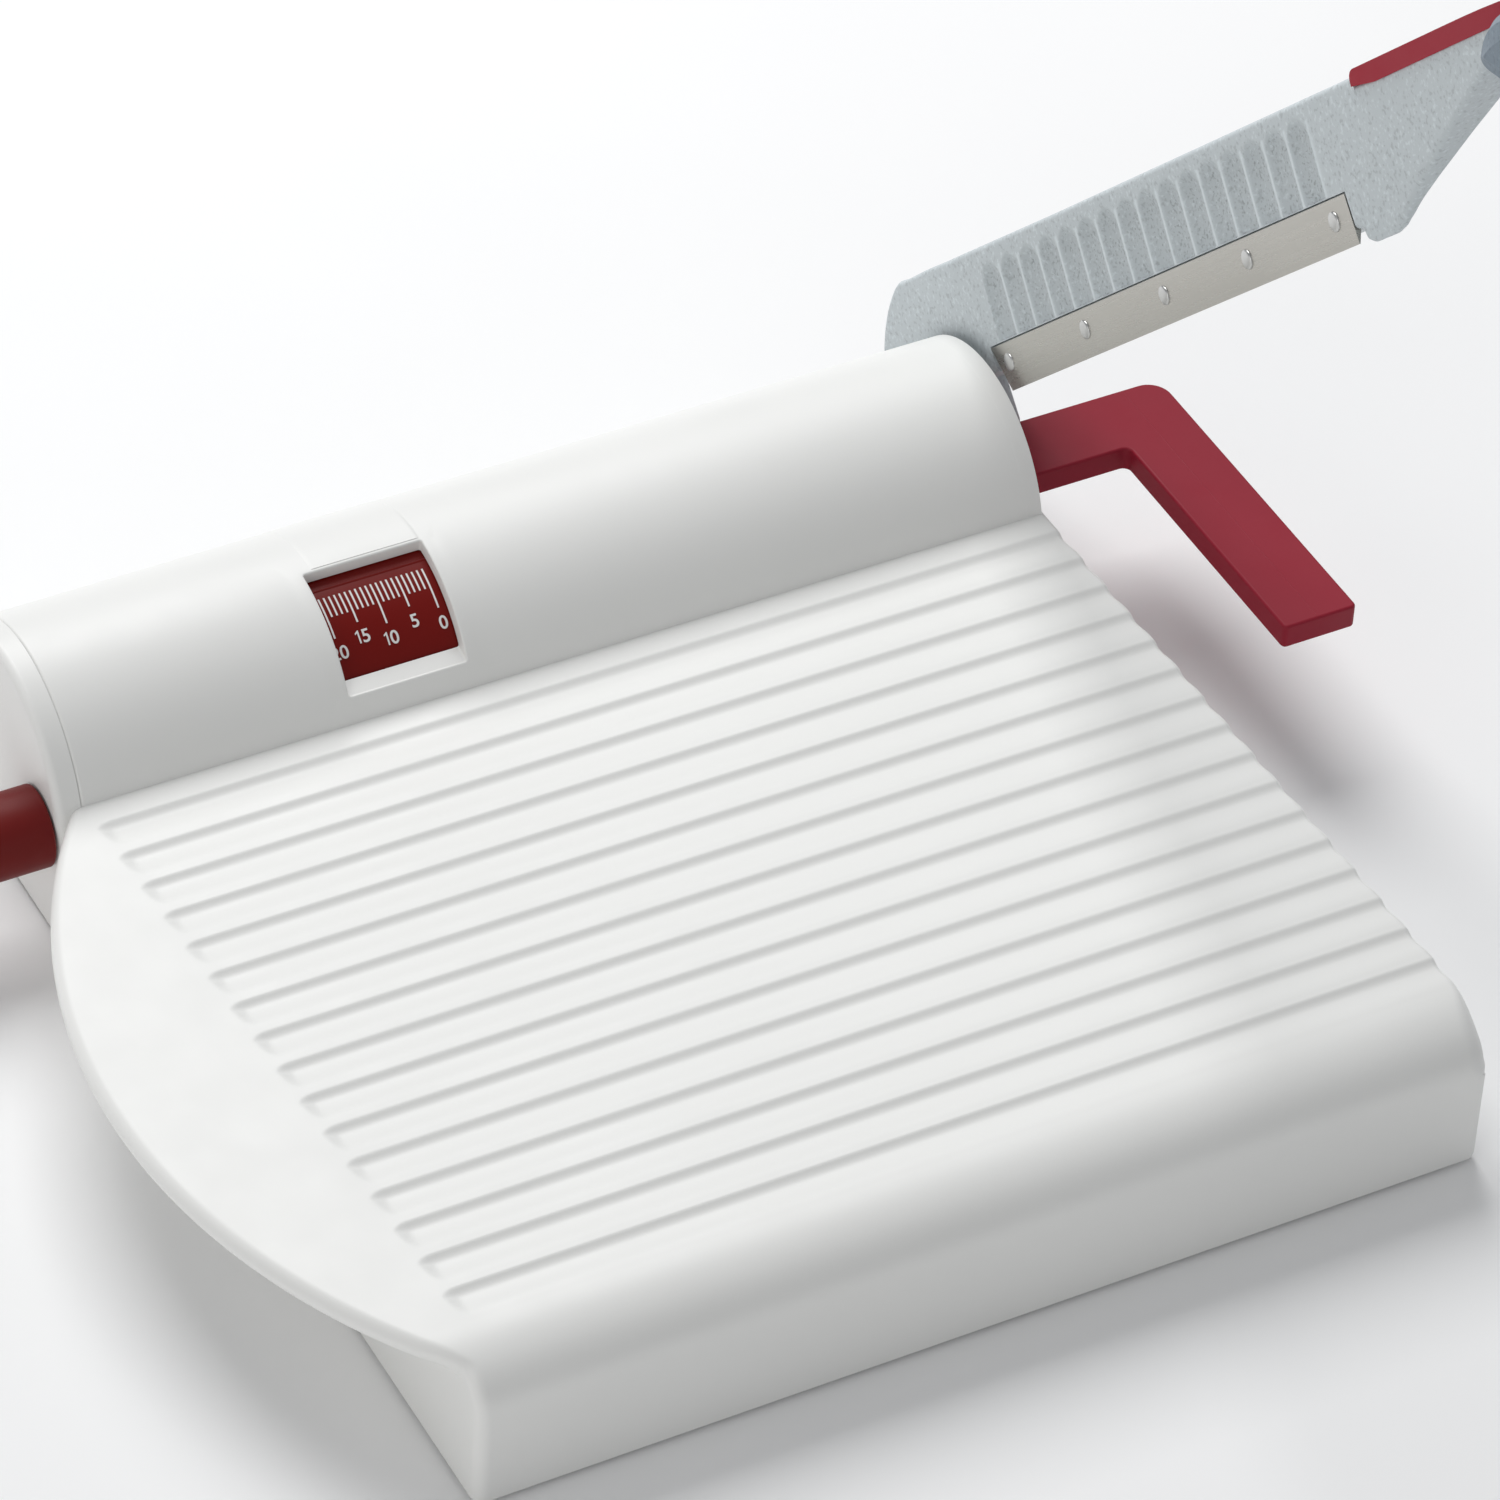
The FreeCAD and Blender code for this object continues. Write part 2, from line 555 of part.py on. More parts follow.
def blade():
    """Steel blade, ground to an edge on its outer side."""
    x0 = LEVER_INNER_X
    x1 = x0 + BLADE_THICKNESS
    body = blade_shape(x0, x1)
    low = lever_point(0, BLADE_EDGE)
    high = lever_point(0, BLADE_EDGE + 2.6)
    bevel = Part.Face(Part.Wire(closed_lines([V(x0 + 0.15, low.y, low.z), V(x1 + 0.01, low.y, low.z),
                                              V(x1 + 0.01, high.y, high.z)])))
    run = lever_point(200, 0) - lever_point(0, 0)
    body = body.cut(bevel.extrude(run))
    for a, t in rivet_places():
        body = body.cut(lever_rod(a, t, x0 - 1, x1 + 1, 1.5))
    return body


def blade_rivets():
    """Rivets through blade and arm, as separate solids, heads on both sides."""
    rivets = []
    for a, t in rivet_places():
        shank = lever_rod(a, t, LEVER_INNER_X - 0.2, LEVER_OUTER_X, 1.5)
        head = lever_rod(a, t, LEVER_OUTER_X, LEVER_OUTER_X + 0.5, 2.3)
        rivets.append(shank.fuse(head).removeSplitter())
    return Part.makeCompound(rivets)


def spline(points, x):
    """Smooth edge through (along, across) points."""
    curve = Part.BSplineCurve()
    curve.interpolate([lever_point(a, t, x) for a, t in points])
    return curve.toShape()


HANDLE_LOOP = [(HANDLE_START, 24.0), (241.5, 28.0), (256.0, 28.4), (285.0, 25.4), (318.0, 19.5),
               (334.0, 13.0), (337.5, 5.0), (329.0, -0.4), (300.0, 1.6), (270.0, 6.8), (250.0, 12.6),
               (240.5, 18.4)]
HANDLE_SECTIONS = [(-1.0, 4.2), (-0.93, 1.9), (-0.78, 0.6), (-0.5, 0.0), (0.5, 0.0), (0.78, 0.6),
                   (0.93, 1.9), (1.0, 4.2)]          # share of the half width, and how far the outline is drawn in


def handle_section(share, inset):
    """Closed outline of the grip at one X, drawn in along the outline's normals."""
    x = HANDLE_MID_X + share * HANDLE_HALF_WIDTH
    points = []
    for k, (a, t) in enumerate(HANDLE_LOOP):
        before = HANDLE_LOOP[k - 1]
        after = HANDLE_LOOP[(k + 1) % len(HANDLE_LOOP)]
        da, dt = after[0] - before[0], after[1] - before[1]
        size = math.hypot(da, dt)
        points.append(lever_point(a + inset * dt / size, t - inset * da / size, x))
    loop = Part.BSplineCurve()
    loop.interpolate(Points=points, PeriodicFlag=True)
    return Part.Wire([loop.toShape()])


def handle_blank():
    """Hand grip with rounded flanks, lofted through its sections."""
    return Part.makeLoft([handle_section(*section) for section in HANDLE_SECTIONS], True, True)


def handle_body():
    """Hand grip moulded round the arm's tang."""
    tang = extrude_x(lever_outline(LEVER_INNER_X), LEVER_INNER_X, LEVER_OUTER_X)
    flange_room = lever_slab([(180.0, 0.0), (232.0, 17.0), (232.0, 19.4), (224.6, 22.0), (180.0, 22.0)],
                             LEVER_INNER_X - 1.8, LEVER_INNER_X + 0.5)
    return handle_blank().cut(tang).cut(flange_room)


def spine_grip():
    """Soft strip on the spine, over the arm and the top of the handle."""
    x0 = LEVER_INNER_X - 0.4
    x1 = LEVER_OUTER_X + 0.4
    top = [(GRIP_START + 3.0, SPINE + 1.0), (200.0, SPINE + 1.0), (220.0, SPINE + 1.0),
           (238.0, SPINE + 0.8), (254.0, 30.2), (285.0, 27.2),
           (318.0, 21.3), (329.0, 16.8)]
    start = lever_point(GRIP_START, SPINE - 1.6, x0)
    rise = spline([(GRIP_START, SPINE - 1.6), (GRIP_START + 0.6, SPINE + 0.3),
                   (GRIP_START + 3.0, SPINE + 1.0)], x0)
    end = lever_point(326.0, 14.0, x0)
    edges = [rise, spline(top, x0), line(lever_point(329.0, 16.8, x0), end), line(end, start)]
    strip = extrude_x(edges, x0, x1)
    arm = extrude_x(lever_outline(LEVER_INNER_X), LEVER_INNER_X, LEVER_OUTER_X)
    below = lever_slab([(180.0, -10.0), (HANDLE_START, -10.0), (HANDLE_START, SPINE - 2.4),
                        (180.0, SPINE - 2.4)], x0 - 1, x1 + 1)
    return strip.cut(arm).cut(handle_blank()).cut(below)


def pivot_bush():
    """Bush pressed into the arm, turning on the bolt."""
    return tube(LEVER_INNER_X, LEVER_OUTER_X - HEAD_DEPTH - WASHER_ROOM, PIVOT_Y, PIVOT_Z,
                BORE_RADIUS, PIVOT_RADIUS + RUNNING_FIT)


# ---------------------------------------------------------------- write every sub-part
def build():
    """Fill the table of nodes."""
    for maker in (base_body, side_rail, housing_shell, scale_bridge, left_end_cap, right_end_cap,
                  bottom_cover, cover_screws, rubber_feet, knob_bush, stop_bar, scale_carriage,
                  carriage_screws, scale_marks, drive_nut, adjusting_knob, lead_screw, retaining_ring,
                  lever_arm, blade, blade_rivets, handle_body, spine_grip, pivot_bush):
        nodes[maker.__name__] = maker()
    for name, x in GUIDE_X.items():
        nodes[name] = slide_guide(*x)
    nodes.update(pivot_parts())


build()
os.makedirs("parts", exist_ok=True)
for name, shape in nodes.items():
    if not shape.isValid():
        print("not valid:", name)
    shape.exportStep(f"parts/{name}.step")
    box = shape.BoundBox
    print(f"{name:18s} solids {len(shape.Solids)}  volume {shape.Volume:10.1f}  "
          f"x {box.XMin:7.1f} {box.XMax:7.1f}  y {box.YMin:7.1f} {box.YMax:7.1f}  z {box.ZMin:6.1f} {box.ZMax:6.1f}")
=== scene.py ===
# %% [markdown]
# # A lever slicer with an adjustable stop
#
# A white moulded platform carries a round housing along its rear edge. A lever with a
# blade swings down past the platform's right edge, and a red stop, set by a screw and
# read on a scale in a window, fixes how thick the slice is. The engineering model is
# loaded as a fixed frame in metres. This lesson gives it its looks: new surfaces where
# the real moulding is softer than a drawing, and a worked-out finish for every part.

# %% Load the frame
import json
import math

import bmesh
import bpy
import numpy as np
from mathutils import Matrix, Vector


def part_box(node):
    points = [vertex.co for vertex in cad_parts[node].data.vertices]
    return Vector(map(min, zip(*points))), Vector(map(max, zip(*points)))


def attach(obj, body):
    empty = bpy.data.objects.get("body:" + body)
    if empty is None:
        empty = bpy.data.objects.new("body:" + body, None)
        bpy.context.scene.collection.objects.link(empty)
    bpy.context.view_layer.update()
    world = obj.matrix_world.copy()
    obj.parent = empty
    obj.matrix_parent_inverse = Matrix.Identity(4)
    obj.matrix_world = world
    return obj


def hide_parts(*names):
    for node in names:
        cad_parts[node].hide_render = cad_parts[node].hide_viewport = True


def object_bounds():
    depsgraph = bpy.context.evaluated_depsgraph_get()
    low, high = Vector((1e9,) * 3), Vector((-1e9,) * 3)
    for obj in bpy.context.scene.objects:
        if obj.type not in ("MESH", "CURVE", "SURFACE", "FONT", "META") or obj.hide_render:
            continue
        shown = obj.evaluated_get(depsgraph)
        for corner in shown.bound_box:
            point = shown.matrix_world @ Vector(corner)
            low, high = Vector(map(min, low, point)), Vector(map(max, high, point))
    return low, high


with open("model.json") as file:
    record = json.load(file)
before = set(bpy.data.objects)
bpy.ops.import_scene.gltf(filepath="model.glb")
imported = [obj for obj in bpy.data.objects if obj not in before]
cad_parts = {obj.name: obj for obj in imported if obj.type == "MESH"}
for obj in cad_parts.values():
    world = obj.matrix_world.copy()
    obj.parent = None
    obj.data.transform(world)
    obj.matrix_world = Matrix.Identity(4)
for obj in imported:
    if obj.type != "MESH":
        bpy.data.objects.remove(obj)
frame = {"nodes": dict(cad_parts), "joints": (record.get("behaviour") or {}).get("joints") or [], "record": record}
cad_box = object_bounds()
MM = 0.001
print("nodes:", len(frame["nodes"]))

# %% [markdown]
# ## Where the main parts are
#
# Sizes that the model already knows are measured from its nodes, so that the new
# surfaces cannot drift away from it. Only details that the drawing leaves out, such as
# the softness of an edge, are numbers of their own.

# %% Measure the frame
def node_box(name):
    """Lowest and highest corner of a node, as two arrays in millimetres."""
    low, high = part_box(name)
    return np.array(low) / MM, np.array(high) / MM


base_low, base_high = node_box("base_body")
shell_low, shell_high = node_box("housing_shell")
rail_low, rail_high = node_box("side_rail")
DECK_TOP = base_high[2]
FRONT = base_low[1]
RIGHT = rail_low[0]
HOUSING_RADIUS = 25.0
HOUSING_Y = shell_high[1] - HOUSING_RADIUS
HOUSING_Z = shell_high[2] - HOUSING_RADIUS
print("deck top", round(DECK_TOP, 2), "front", round(FRONT, 2), "right", round(RIGHT, 2))
print("housing axis", round(HOUSING_Y, 2), round(HOUSING_Z, 2), "x", shell_low[0], shell_high[0])

# %% [markdown]
# ## Camera
#
# A long lens from the front left and well above flattens the perspective, as for a
# catalogue picture. The camera's three axes are worked out from two angles and a small
# roll, and written into its matrix.

# %% Make the camera
def camera_axes(turn, tilt, roll):
    """Right, up and back vectors: back from the turn and tilt, then right and up turned by the roll."""
    a, e, r = (math.radians(v) for v in (turn, tilt, roll))
    back = np.array([math.sin(a) * math.cos(e), -math.cos(a) * math.cos(e), math.sin(e)])
    right0 = np.array([math.cos(a), math.sin(a), 0.0])
    up0 = np.cross(back, right0)
    right = math.cos(r) * right0 + math.sin(r) * up0
    up = -math.sin(r) * right0 + math.cos(r) * up0
    return right, up, back


def make_camera(place, turn, tilt, roll, lens):
    """A perspective camera at a place, with its axes as the columns of its matrix."""
    right, up, back = camera_axes(turn, tilt, roll)
    data = bpy.data.cameras.new("studio_camera")
    data.lens = lens
    data.sensor_width = 36.0
    camera = bpy.data.objects.new("studio_camera", data)
    bpy.context.scene.collection.objects.link(camera)
    matrix = np.eye(4)
    matrix[:3, 0], matrix[:3, 1], matrix[:3, 2], matrix[:3, 3] = right, up, back, place
    camera.matrix_world = Matrix(matrix.tolist())
    bpy.context.scene.camera = camera
    return camera


camera = make_camera((-0.49563, -0.87166, 0.92837), -29.98, 41.27, 3.42, 188.56)
print("camera at", tuple(round(v, 3) for v in camera.location))

# %% [markdown]
# ## Light
#
# White plastic shows its shape only through soft changes of tone. A large soft light
# above and behind makes the top faces the brightest and leaves the front walls darker.
# A weak one at the front left keeps the shadows open.

# %% Make the lights
def soft_light(name, place, target, size, power, colour=(1.0, 1.0, 1.0)):
    """A square area light at a place, turned to face a target."""
    data = bpy.data.lights.new(name, "AREA")
    data.shape = "SQUARE"
    data.size = size
    data.energy = power
    data.color = colour
    light = bpy.data.objects.new(name, data)
    bpy.context.scene.collection.objects.link(light)
    light.location = place
    light.rotation_mode = "QUATERNION"
    light.rotation_quaternion = (Vector(target) - Vector(place)).to_track_quat("-Z", "Y")
    return light


soft_light("top_light", (0.10, 0.95, 1.25), (0.0, 0.0, 0.0), 1.0, 18.5)
soft_light("left_fill", (-1.1, -0.5, 0.5), (0.0, 0.0, 0.02), 0.9, 3.2, (1.0, 0.98, 0.95))
world = bpy.data.worlds.new("pale_room")
world.use_nodes = True
world.node_tree.nodes["Background"].inputs["Color"].default_value = (0.95, 0.97, 1.0, 1.0)
world.node_tree.nodes["Background"].inputs["Strength"].default_value = 0.35
bpy.context.scene.world = world
bpy.context.scene.view_settings.view_transform = "Standard"

# %% [markdown]
# ## Shared effects
#
# Three effects turn up on nearly every part, so each is a node group, built once.
# Moulded grain is the fine texture that a spark-eroded mould leaves. Speckle is the dark
# and light flecks of a filled plastic. Edge wear finds sharp edges by comparing the
# surface's normal with one that is rounded off over a small radius.

# %% Helpers for node groups
def new_group(name, inputs, outputs):
    """A shader node group with float or colour sockets, its tree and its two end nodes."""
    tree = bpy.data.node_groups.new(name, "ShaderNodeTree")
    for label, kind, value in inputs:
        socket = tree.interface.new_socket(label, in_out="INPUT", socket_type=kind)
        socket.default_value = value
    for label, kind in outputs:
        tree.interface.new_socket(label, in_out="OUTPUT", socket_type=kind)
    return tree, tree.nodes.new("NodeGroupInput"), tree.nodes.new("NodeGroupOutput")


def add_noise(tree, scale, detail=2.0, roughness=0.5):
    """Noise on Object coordinates, with its size set by a number or a socket."""
    noise = tree.nodes.new("ShaderNodeTexNoise")
    place = tree.nodes.new("ShaderNodeTexCoord")
    tree.links.new(place.outputs["Object"], noise.inputs["Vector"])
    if isinstance(scale, (int, float)):
        noise.inputs["Scale"].default_value = scale
    else:
        tree.links.new(scale, noise.inputs["Scale"])
    noise.inputs["Detail"].default_value = detail
    noise.inputs["Roughness"].default_value = roughness
    return noise.outputs["Fac"]


def add_map(tree, value, low, high, to_low, to_high):
    """Straight-line change of a value from one range to another, held at its ends."""
    node = tree.nodes.new("ShaderNodeMapRange")
    ends = (value, low, high, to_low, to_high)
    for label, end in zip(("Value", "From Min", "From Max", "To Min", "To Max"), ends):
        if isinstance(end, (int, float)):
            node.inputs[label].default_value = end
        else:
            tree.links.new(end, node.inputs[label])
    return node.outputs["Result"]


def add_math(tree, kind, first, second=0.0):
    """One sum on two numbers or sockets."""
    node = tree.nodes.new("ShaderNodeMath")
    node.operation = kind
    for i, end in enumerate((first, second)):
        if isinstance(end, (int, float)):
            node.inputs[i].default_value = end
        else:
            tree.links.new(end, node.inputs[i])
    return node.outputs[0]


def add_mix(tree, mask, first, second):
    """Colour mix of two colours or sockets by a mask."""
    node = tree.nodes.new("ShaderNodeMix")
    node.data_type = "RGBA"
    for i, end in ((0, mask), (6, first), (7, second)):
        if isinstance(end, (int, float, tuple)):
            node.inputs[i].default_value = end
        else:
            tree.links.new(end, node.inputs[i])
    return node.outputs[2]


print("group helpers ready")

# %% Build the moulded grain
def build_grain():
    """Height is fine noise; Tone is wide noise between -1 and 1; Gloss is middle-sized noise."""
    tree, start, end = new_group("moulded_grain", [("Grain Scale", "NodeSocketFloat", 1600.0)],
                                 [("Height", "NodeSocketFloat"), ("Tone", "NodeSocketFloat"),
                                  ("Gloss", "NodeSocketFloat")])
    fine = add_noise(tree, start.outputs["Grain Scale"], 3.0, 0.6)
    wide = add_map(tree, add_noise(tree, 14.0, 2.0), 0.3, 0.7, -1.0, 1.0)
    middle = add_map(tree, add_noise(tree, 90.0, 3.0), 0.3, 0.7, -1.0, 1.0)
    tree.links.new(fine, end.inputs["Height"])
    tree.links.new(wide, end.inputs["Tone"])
    tree.links.new(middle, end.inputs["Gloss"])
    return tree


grain_group = build_grain()
print("built", grain_group.name)

# %% Build the speckle
def build_speckle():
    """Dark and Light are masks: fine noise past a high and below a low threshold."""
    tree, start, end = new_group("speckle", [("Fleck Scale", "NodeSocketFloat", 1300.0)],
                                 [("Dark", "NodeSocketFloat"), ("Light", "NodeSocketFloat")])
    fleck = add_noise(tree, start.outputs["Fleck Scale"], 1.0, 0.4)
    tree.links.new(add_map(tree, fleck, 0.60, 0.70, 0.0, 1.0), end.inputs["Dark"])
    tree.links.new(add_map(tree, fleck, 0.30, 0.40, 1.0, 0.0), end.inputs["Light"])
    return tree


speckle_group = build_speckle()
print("built", speckle_group.name)

# %% Build the edge wear
def build_edge_wear():
    """Edge is one minus the dot product of the plain normal and one rounded over Radius, broken by noise."""
    tree, start, end = new_group("edge_wear", [("Amount", "NodeSocketFloat", 1.0)],
                                 [("Edge", "NodeSocketFloat")])
    rounded = tree.nodes.new("ShaderNodeBevel")
    rounded.samples = 4
    rounded.inputs["Radius"].default_value = 0.0006
    plain = tree.nodes.new("ShaderNodeNewGeometry")
    dot = tree.nodes.new("ShaderNodeVectorMath")
    dot.operation = "DOT_PRODUCT"
    tree.links.new(rounded.outputs["Normal"], dot.inputs[0])
    tree.links.new(plain.outputs["Normal"], dot.inputs[1])
    sharp = add_map(tree, add_math(tree, "SUBTRACT", 1.0, dot.outputs["Value"]), 0.02, 0.25, 0.0, 1.0)
    broken = add_map(tree, add_noise(tree, 400.0, 3.0), 0.35, 0.6, 0.0, 1.0)
    worn = add_math(tree, "MULTIPLY", sharp, broken)
    tree.links.new(add_math(tree, "MULTIPLY", worn, start.outputs["Amount"]), end.inputs["Edge"])
    return tree


wear_group = build_edge_wear()
print("built", wear_group.name)

# %% [markdown]
# ## Finishes
#
# The plastics share one recipe: a colour that drifts slightly, a gloss that is never
# quite even, the mould's grain as a shallow bump and slightly polished edges. Steel is
# the same idea with a metallic shader and brushing drawn out along one direction.

# %% The plastic recipe
def shift(colour, factor):
    """A colour made lighter or darker by a factor, with its alpha kept."""
    return tuple(min(1.0, c * factor) for c in colour[:3]) + (1.0,)


def place_group(tree, group, **values):
    """A group node in a material, with its own values."""
    node = tree.nodes.new("ShaderNodeGroup")
    node.node_tree = group
    for label, value in values.items():
        node.inputs[label.replace("_", " ")].default_value = value
    return node


def add_bump(tree, shader, height, strength, distance):
    """Bump from a height, into the shader's normal."""
    bump = tree.nodes.new("ShaderNodeBump")
    bump.inputs["Strength"].default_value = strength
    bump.inputs["Distance"].default_value = distance
    tree.links.new(height, bump.inputs["Height"])
    tree.links.new(bump.outputs["Normal"], shader.inputs["Normal"])


def plastic(name, colour, rough, drift=0.02, grain=1600.0, bump=0.25, specular=0.45, wear=0.5):
    """Moulded plastic: drifting colour, uneven gloss, grain bump and polished edges."""
    material = bpy.data.materials.new(name)
    material.use_nodes = True
    material.diffuse_color = colour
    tree = material.node_tree
    shader = tree.nodes["Principled BSDF"]
    shader.inputs["Specular IOR Level"].default_value = specular
    mould = place_group(tree, grain_group, Grain_Scale=grain)
    edge = place_group(tree, wear_group, Amount=wear)
    drifted = add_mix(tree, add_map(tree, mould.outputs["Tone"], -1.0, 1.0, 0.0, 1.0),
                      shift(colour, 1.0 - drift), shift(colour, 1.0 + drift))
    tinted = add_mix(tree, edge.outputs["Edge"], drifted, shift(colour, 1.12))
    tree.links.new(tinted, shader.inputs["Base Color"])
    gloss = add_map(tree, mould.outputs["Gloss"], -1.0, 1.0, rough - 0.04, rough + 0.04)
    tree.links.new(add_math(tree, "SUBTRACT", gloss, add_math(tree, "MULTIPLY", edge.outputs["Edge"], 0.1)),
                   shader.inputs["Roughness"])
    add_bump(tree, shader, mould.outputs["Height"], bump, 0.00004)
    return material


white_satin = plastic("white_satin", (0.84, 0.84, 0.82, 1.0), 0.42, 0.012, 1400.0, 0.2, 0.4, 0.3)
white_matt = plastic("white_matt", (0.74, 0.74, 0.71, 1.0), 0.6, 0.02, 1100.0, 0.35)
crimson = plastic("crimson_matt", (0.27, 0.012, 0.028, 1.0), 0.52, 0.05, 1500.0, 0.3, 0.2, 0.4)
# The knob's red is the crimson plastic made darker: painted shade.
knob_crimson_painted_shade = plastic("knob_crimson_painted_shade", (0.15, 0.006, 0.005, 1.0), 0.5, 0.05, 1500.0, 0.3, 0.25, 0.4)
# The scale's red is the crimson plastic made darker: painted shade for the band inside the housing.
scale_crimson_painted_shade = plastic("scale_crimson_painted_shade", (0.17, 0.004, 0.002, 1.0), 0.4, 0.04, 1500.0, 0.2, 0.2, 0.3)
soft_crimson = plastic("soft_crimson", (0.36, 0.020, 0.038, 1.0), 0.62, 0.05, 900.0, 0.4, 0.25, 0.3)
rubber = plastic("foot_rubber_finish", (0.05, 0.05, 0.052, 1.0), 0.8, 0.1, 800.0, 0.6, 0.3, 0.2)
acetal = plastic("natural_acetal", (0.72, 0.70, 0.64, 1.0), 0.35, 0.03, 1200.0, 0.15)
print_ink = plastic("scale_print_ink", (0.78, 0.77, 0.76, 1.0), 0.55, 0.05, 2600.0, 0.3)
print("plastics:", [m.name for m in bpy.data.materials if m.use_nodes])

# %% The speckled grey of the lever
def speckled(name, colour, rough):
    """Filled plastic: the plastic recipe's colour with dark and light flecks and a coarser bump."""
    material = plastic(name, colour, rough, 0.02, 1000.0, 0.55, 0.4, 0.4)
    tree = material.node_tree
    shader = tree.nodes["Principled BSDF"]
    before = shader.inputs["Base Color"].links[0].from_socket
    flecks = place_group(tree, speckle_group, Fleck_Scale=1300.0)
    spots = add_math(tree, "MULTIPLY", flecks.outputs["Dark"], 0.55)
    dark = add_mix(tree, spots, before, shift(colour, 0.66))
    both = add_mix(tree, add_math(tree, "MULTIPLY", flecks.outputs["Light"], 0.5), dark, shift(colour, 1.3))
    tree.links.new(both, shader.inputs["Base Color"])
    return material


handle_grey = speckled("handle_grey", (0.20, 0.25, 0.30, 1.0), 0.5)
lever_grey = speckled("lever_grey", (0.56, 0.61, 0.63, 1.0), 0.5)
print("built", lever_grey.name)

# %% Steels and brass
def metal(name, colour, rough, stretch, bump=0.12):
    """Metal with brushing: noise squeezed across one direction drives the roughness and the bump."""
    material = bpy.data.materials.new(name)
    material.use_nodes = True
    material.diffuse_color = colour
    tree = material.node_tree
    shader = tree.nodes["Principled BSDF"]
    shader.inputs["Metallic"].default_value = 1.0
    place = tree.nodes.new("ShaderNodeTexCoord")
    level = tree.nodes.new("ShaderNodeMapping")
    level.inputs["Rotation"].default_value = (math.radians(45.9), 0.0, 0.0)
    squeeze = tree.nodes.new("ShaderNodeMapping")
    squeeze.inputs["Scale"].default_value = stretch
    brush = tree.nodes.new("ShaderNodeTexNoise")
    brush.inputs["Scale"].default_value = 1.0
    brush.inputs["Detail"].default_value = 4.0
    tree.links.new(place.outputs["Object"], level.inputs["Vector"])
    tree.links.new(level.outputs["Vector"], squeeze.inputs["Vector"])
    tree.links.new(squeeze.outputs["Vector"], brush.inputs["Vector"])
    mould = place_group(tree, grain_group, Grain_Scale=700.0)
    tone = add_mix(tree, add_map(tree, mould.outputs["Tone"], -1.0, 1.0, 0.0, 1.0),
                   shift(colour, 0.93), shift(colour, 1.05))
    tree.links.new(tone, shader.inputs["Base Color"])
    tree.links.new(add_map(tree, brush.outputs["Fac"], 0.3, 0.7, rough - 0.02, rough + 0.04),
                   shader.inputs["Roughness"])
    add_bump(tree, shader, brush.outputs["Fac"], bump, 0.00003)
    return material


blade_finish = metal("blade_satin_steel", (0.50, 0.485, 0.45, 1.0), 0.27, (400.0, 25.0, 1400.0), 0.008)
fastener_finish = metal("fastener_steel_finish", (0.62, 0.62, 0.61, 1.0), 0.3, (900.0, 900.0, 900.0))
brass_finish = metal("turned_brass", (0.72, 0.52, 0.22, 1.0), 0.32, (2500.0, 300.0, 300.0))
print("metals built")

# %% [markdown]
# ## A finish for every part of the frame
#
# Each part's material slot in the record says what it is made of, so one table from slot
# to finish dresses them all, and nothing is left with its plain grey.

# %% Dress the nodes
FINISH = {"white_plastic": white_satin, "white_inner": white_matt, "fastener_steel": fastener_finish,
          "foot_rubber": rubber, "acetal": acetal, "red_plastic": crimson,
          "scale_red": scale_crimson_painted_shade, "scale_print": print_ink, "brass": brass_finish,
          "grey_plastic": lever_grey, "blade_steel": blade_finish, "soft_grip": soft_crimson}


def dress(node_object, material):
    """Puts one finish into every slot of a node's object, without touching its mesh's shape."""
    if not node_object.material_slots:
        node_object.data.materials.append(material)
    for slot in node_object.material_slots:
        slot.material = material


for part in frame["record"]["subparts"]:
    dress(frame["nodes"][part["node"]], FINISH[part["material_slot"]])
# The knob takes the darkened red, painted shade.
dress(frame["nodes"]["adjusting_knob"], knob_crimson_painted_shade)
dress(frame["nodes"]["handle_body"], handle_grey)

# %% [markdown]
# ## The surface helpers
#
# A surface is a grid of points. Several grids that share edges become one closed mesh
# when their doubled points are merged, and cells that shrank to nothing are dropped.

# %% Merge grids into a mesh
def grid_cells(rows, columns, offset):
    """Corner numbers of every cell of a grid, as an array with four columns."""
    i, j = np.meshgrid(np.arange(rows - 1), np.arange(columns - 1), indexing="ij")
    a = (i * columns + j).ravel() + offset
    return np.stack([a, a + 1, a + 1 + columns, a + columns], axis=1)


def merge_grids(grids, loops=()):
    """Points rounded to a tenth of a micron and merged, and the cells that still have three corners."""
    points, cells, offset = [], [], 0
    for grid in grids:
        rows, columns = grid.shape[:2]
        points.append(grid.reshape(-1, 3))
        cells.append(grid_cells(rows, columns, offset))
        offset += rows * columns
    for loop in loops:
        points.append(loop)
    points, cells = np.concatenate(points), np.concatenate(cells)
    keys = np.round(points / 1e-4).astype(np.int64)
    _, first, back = np.unique(keys, axis=0, return_index=True, return_inverse=True)
    cells = back.ravel()[cells]
    faces = []
    same = cells == np.roll(cells, -1, axis=1)
    faces += cells[same.sum(1) == 0].tolist()
    faces += [[c for c, s in zip(row, gone) if not s]
              for row, gone in zip(cells[same.sum(1) == 1].tolist(), same[same.sum(1) == 1].tolist())]
    for loop in loops:
        ring = back.ravel()[offset:offset + len(loop)].tolist()
        offset += len(loop)
        faces.append([c for i, c in enumerate(ring) if c != ring[i - 1]])
    return points[first] * MM, faces


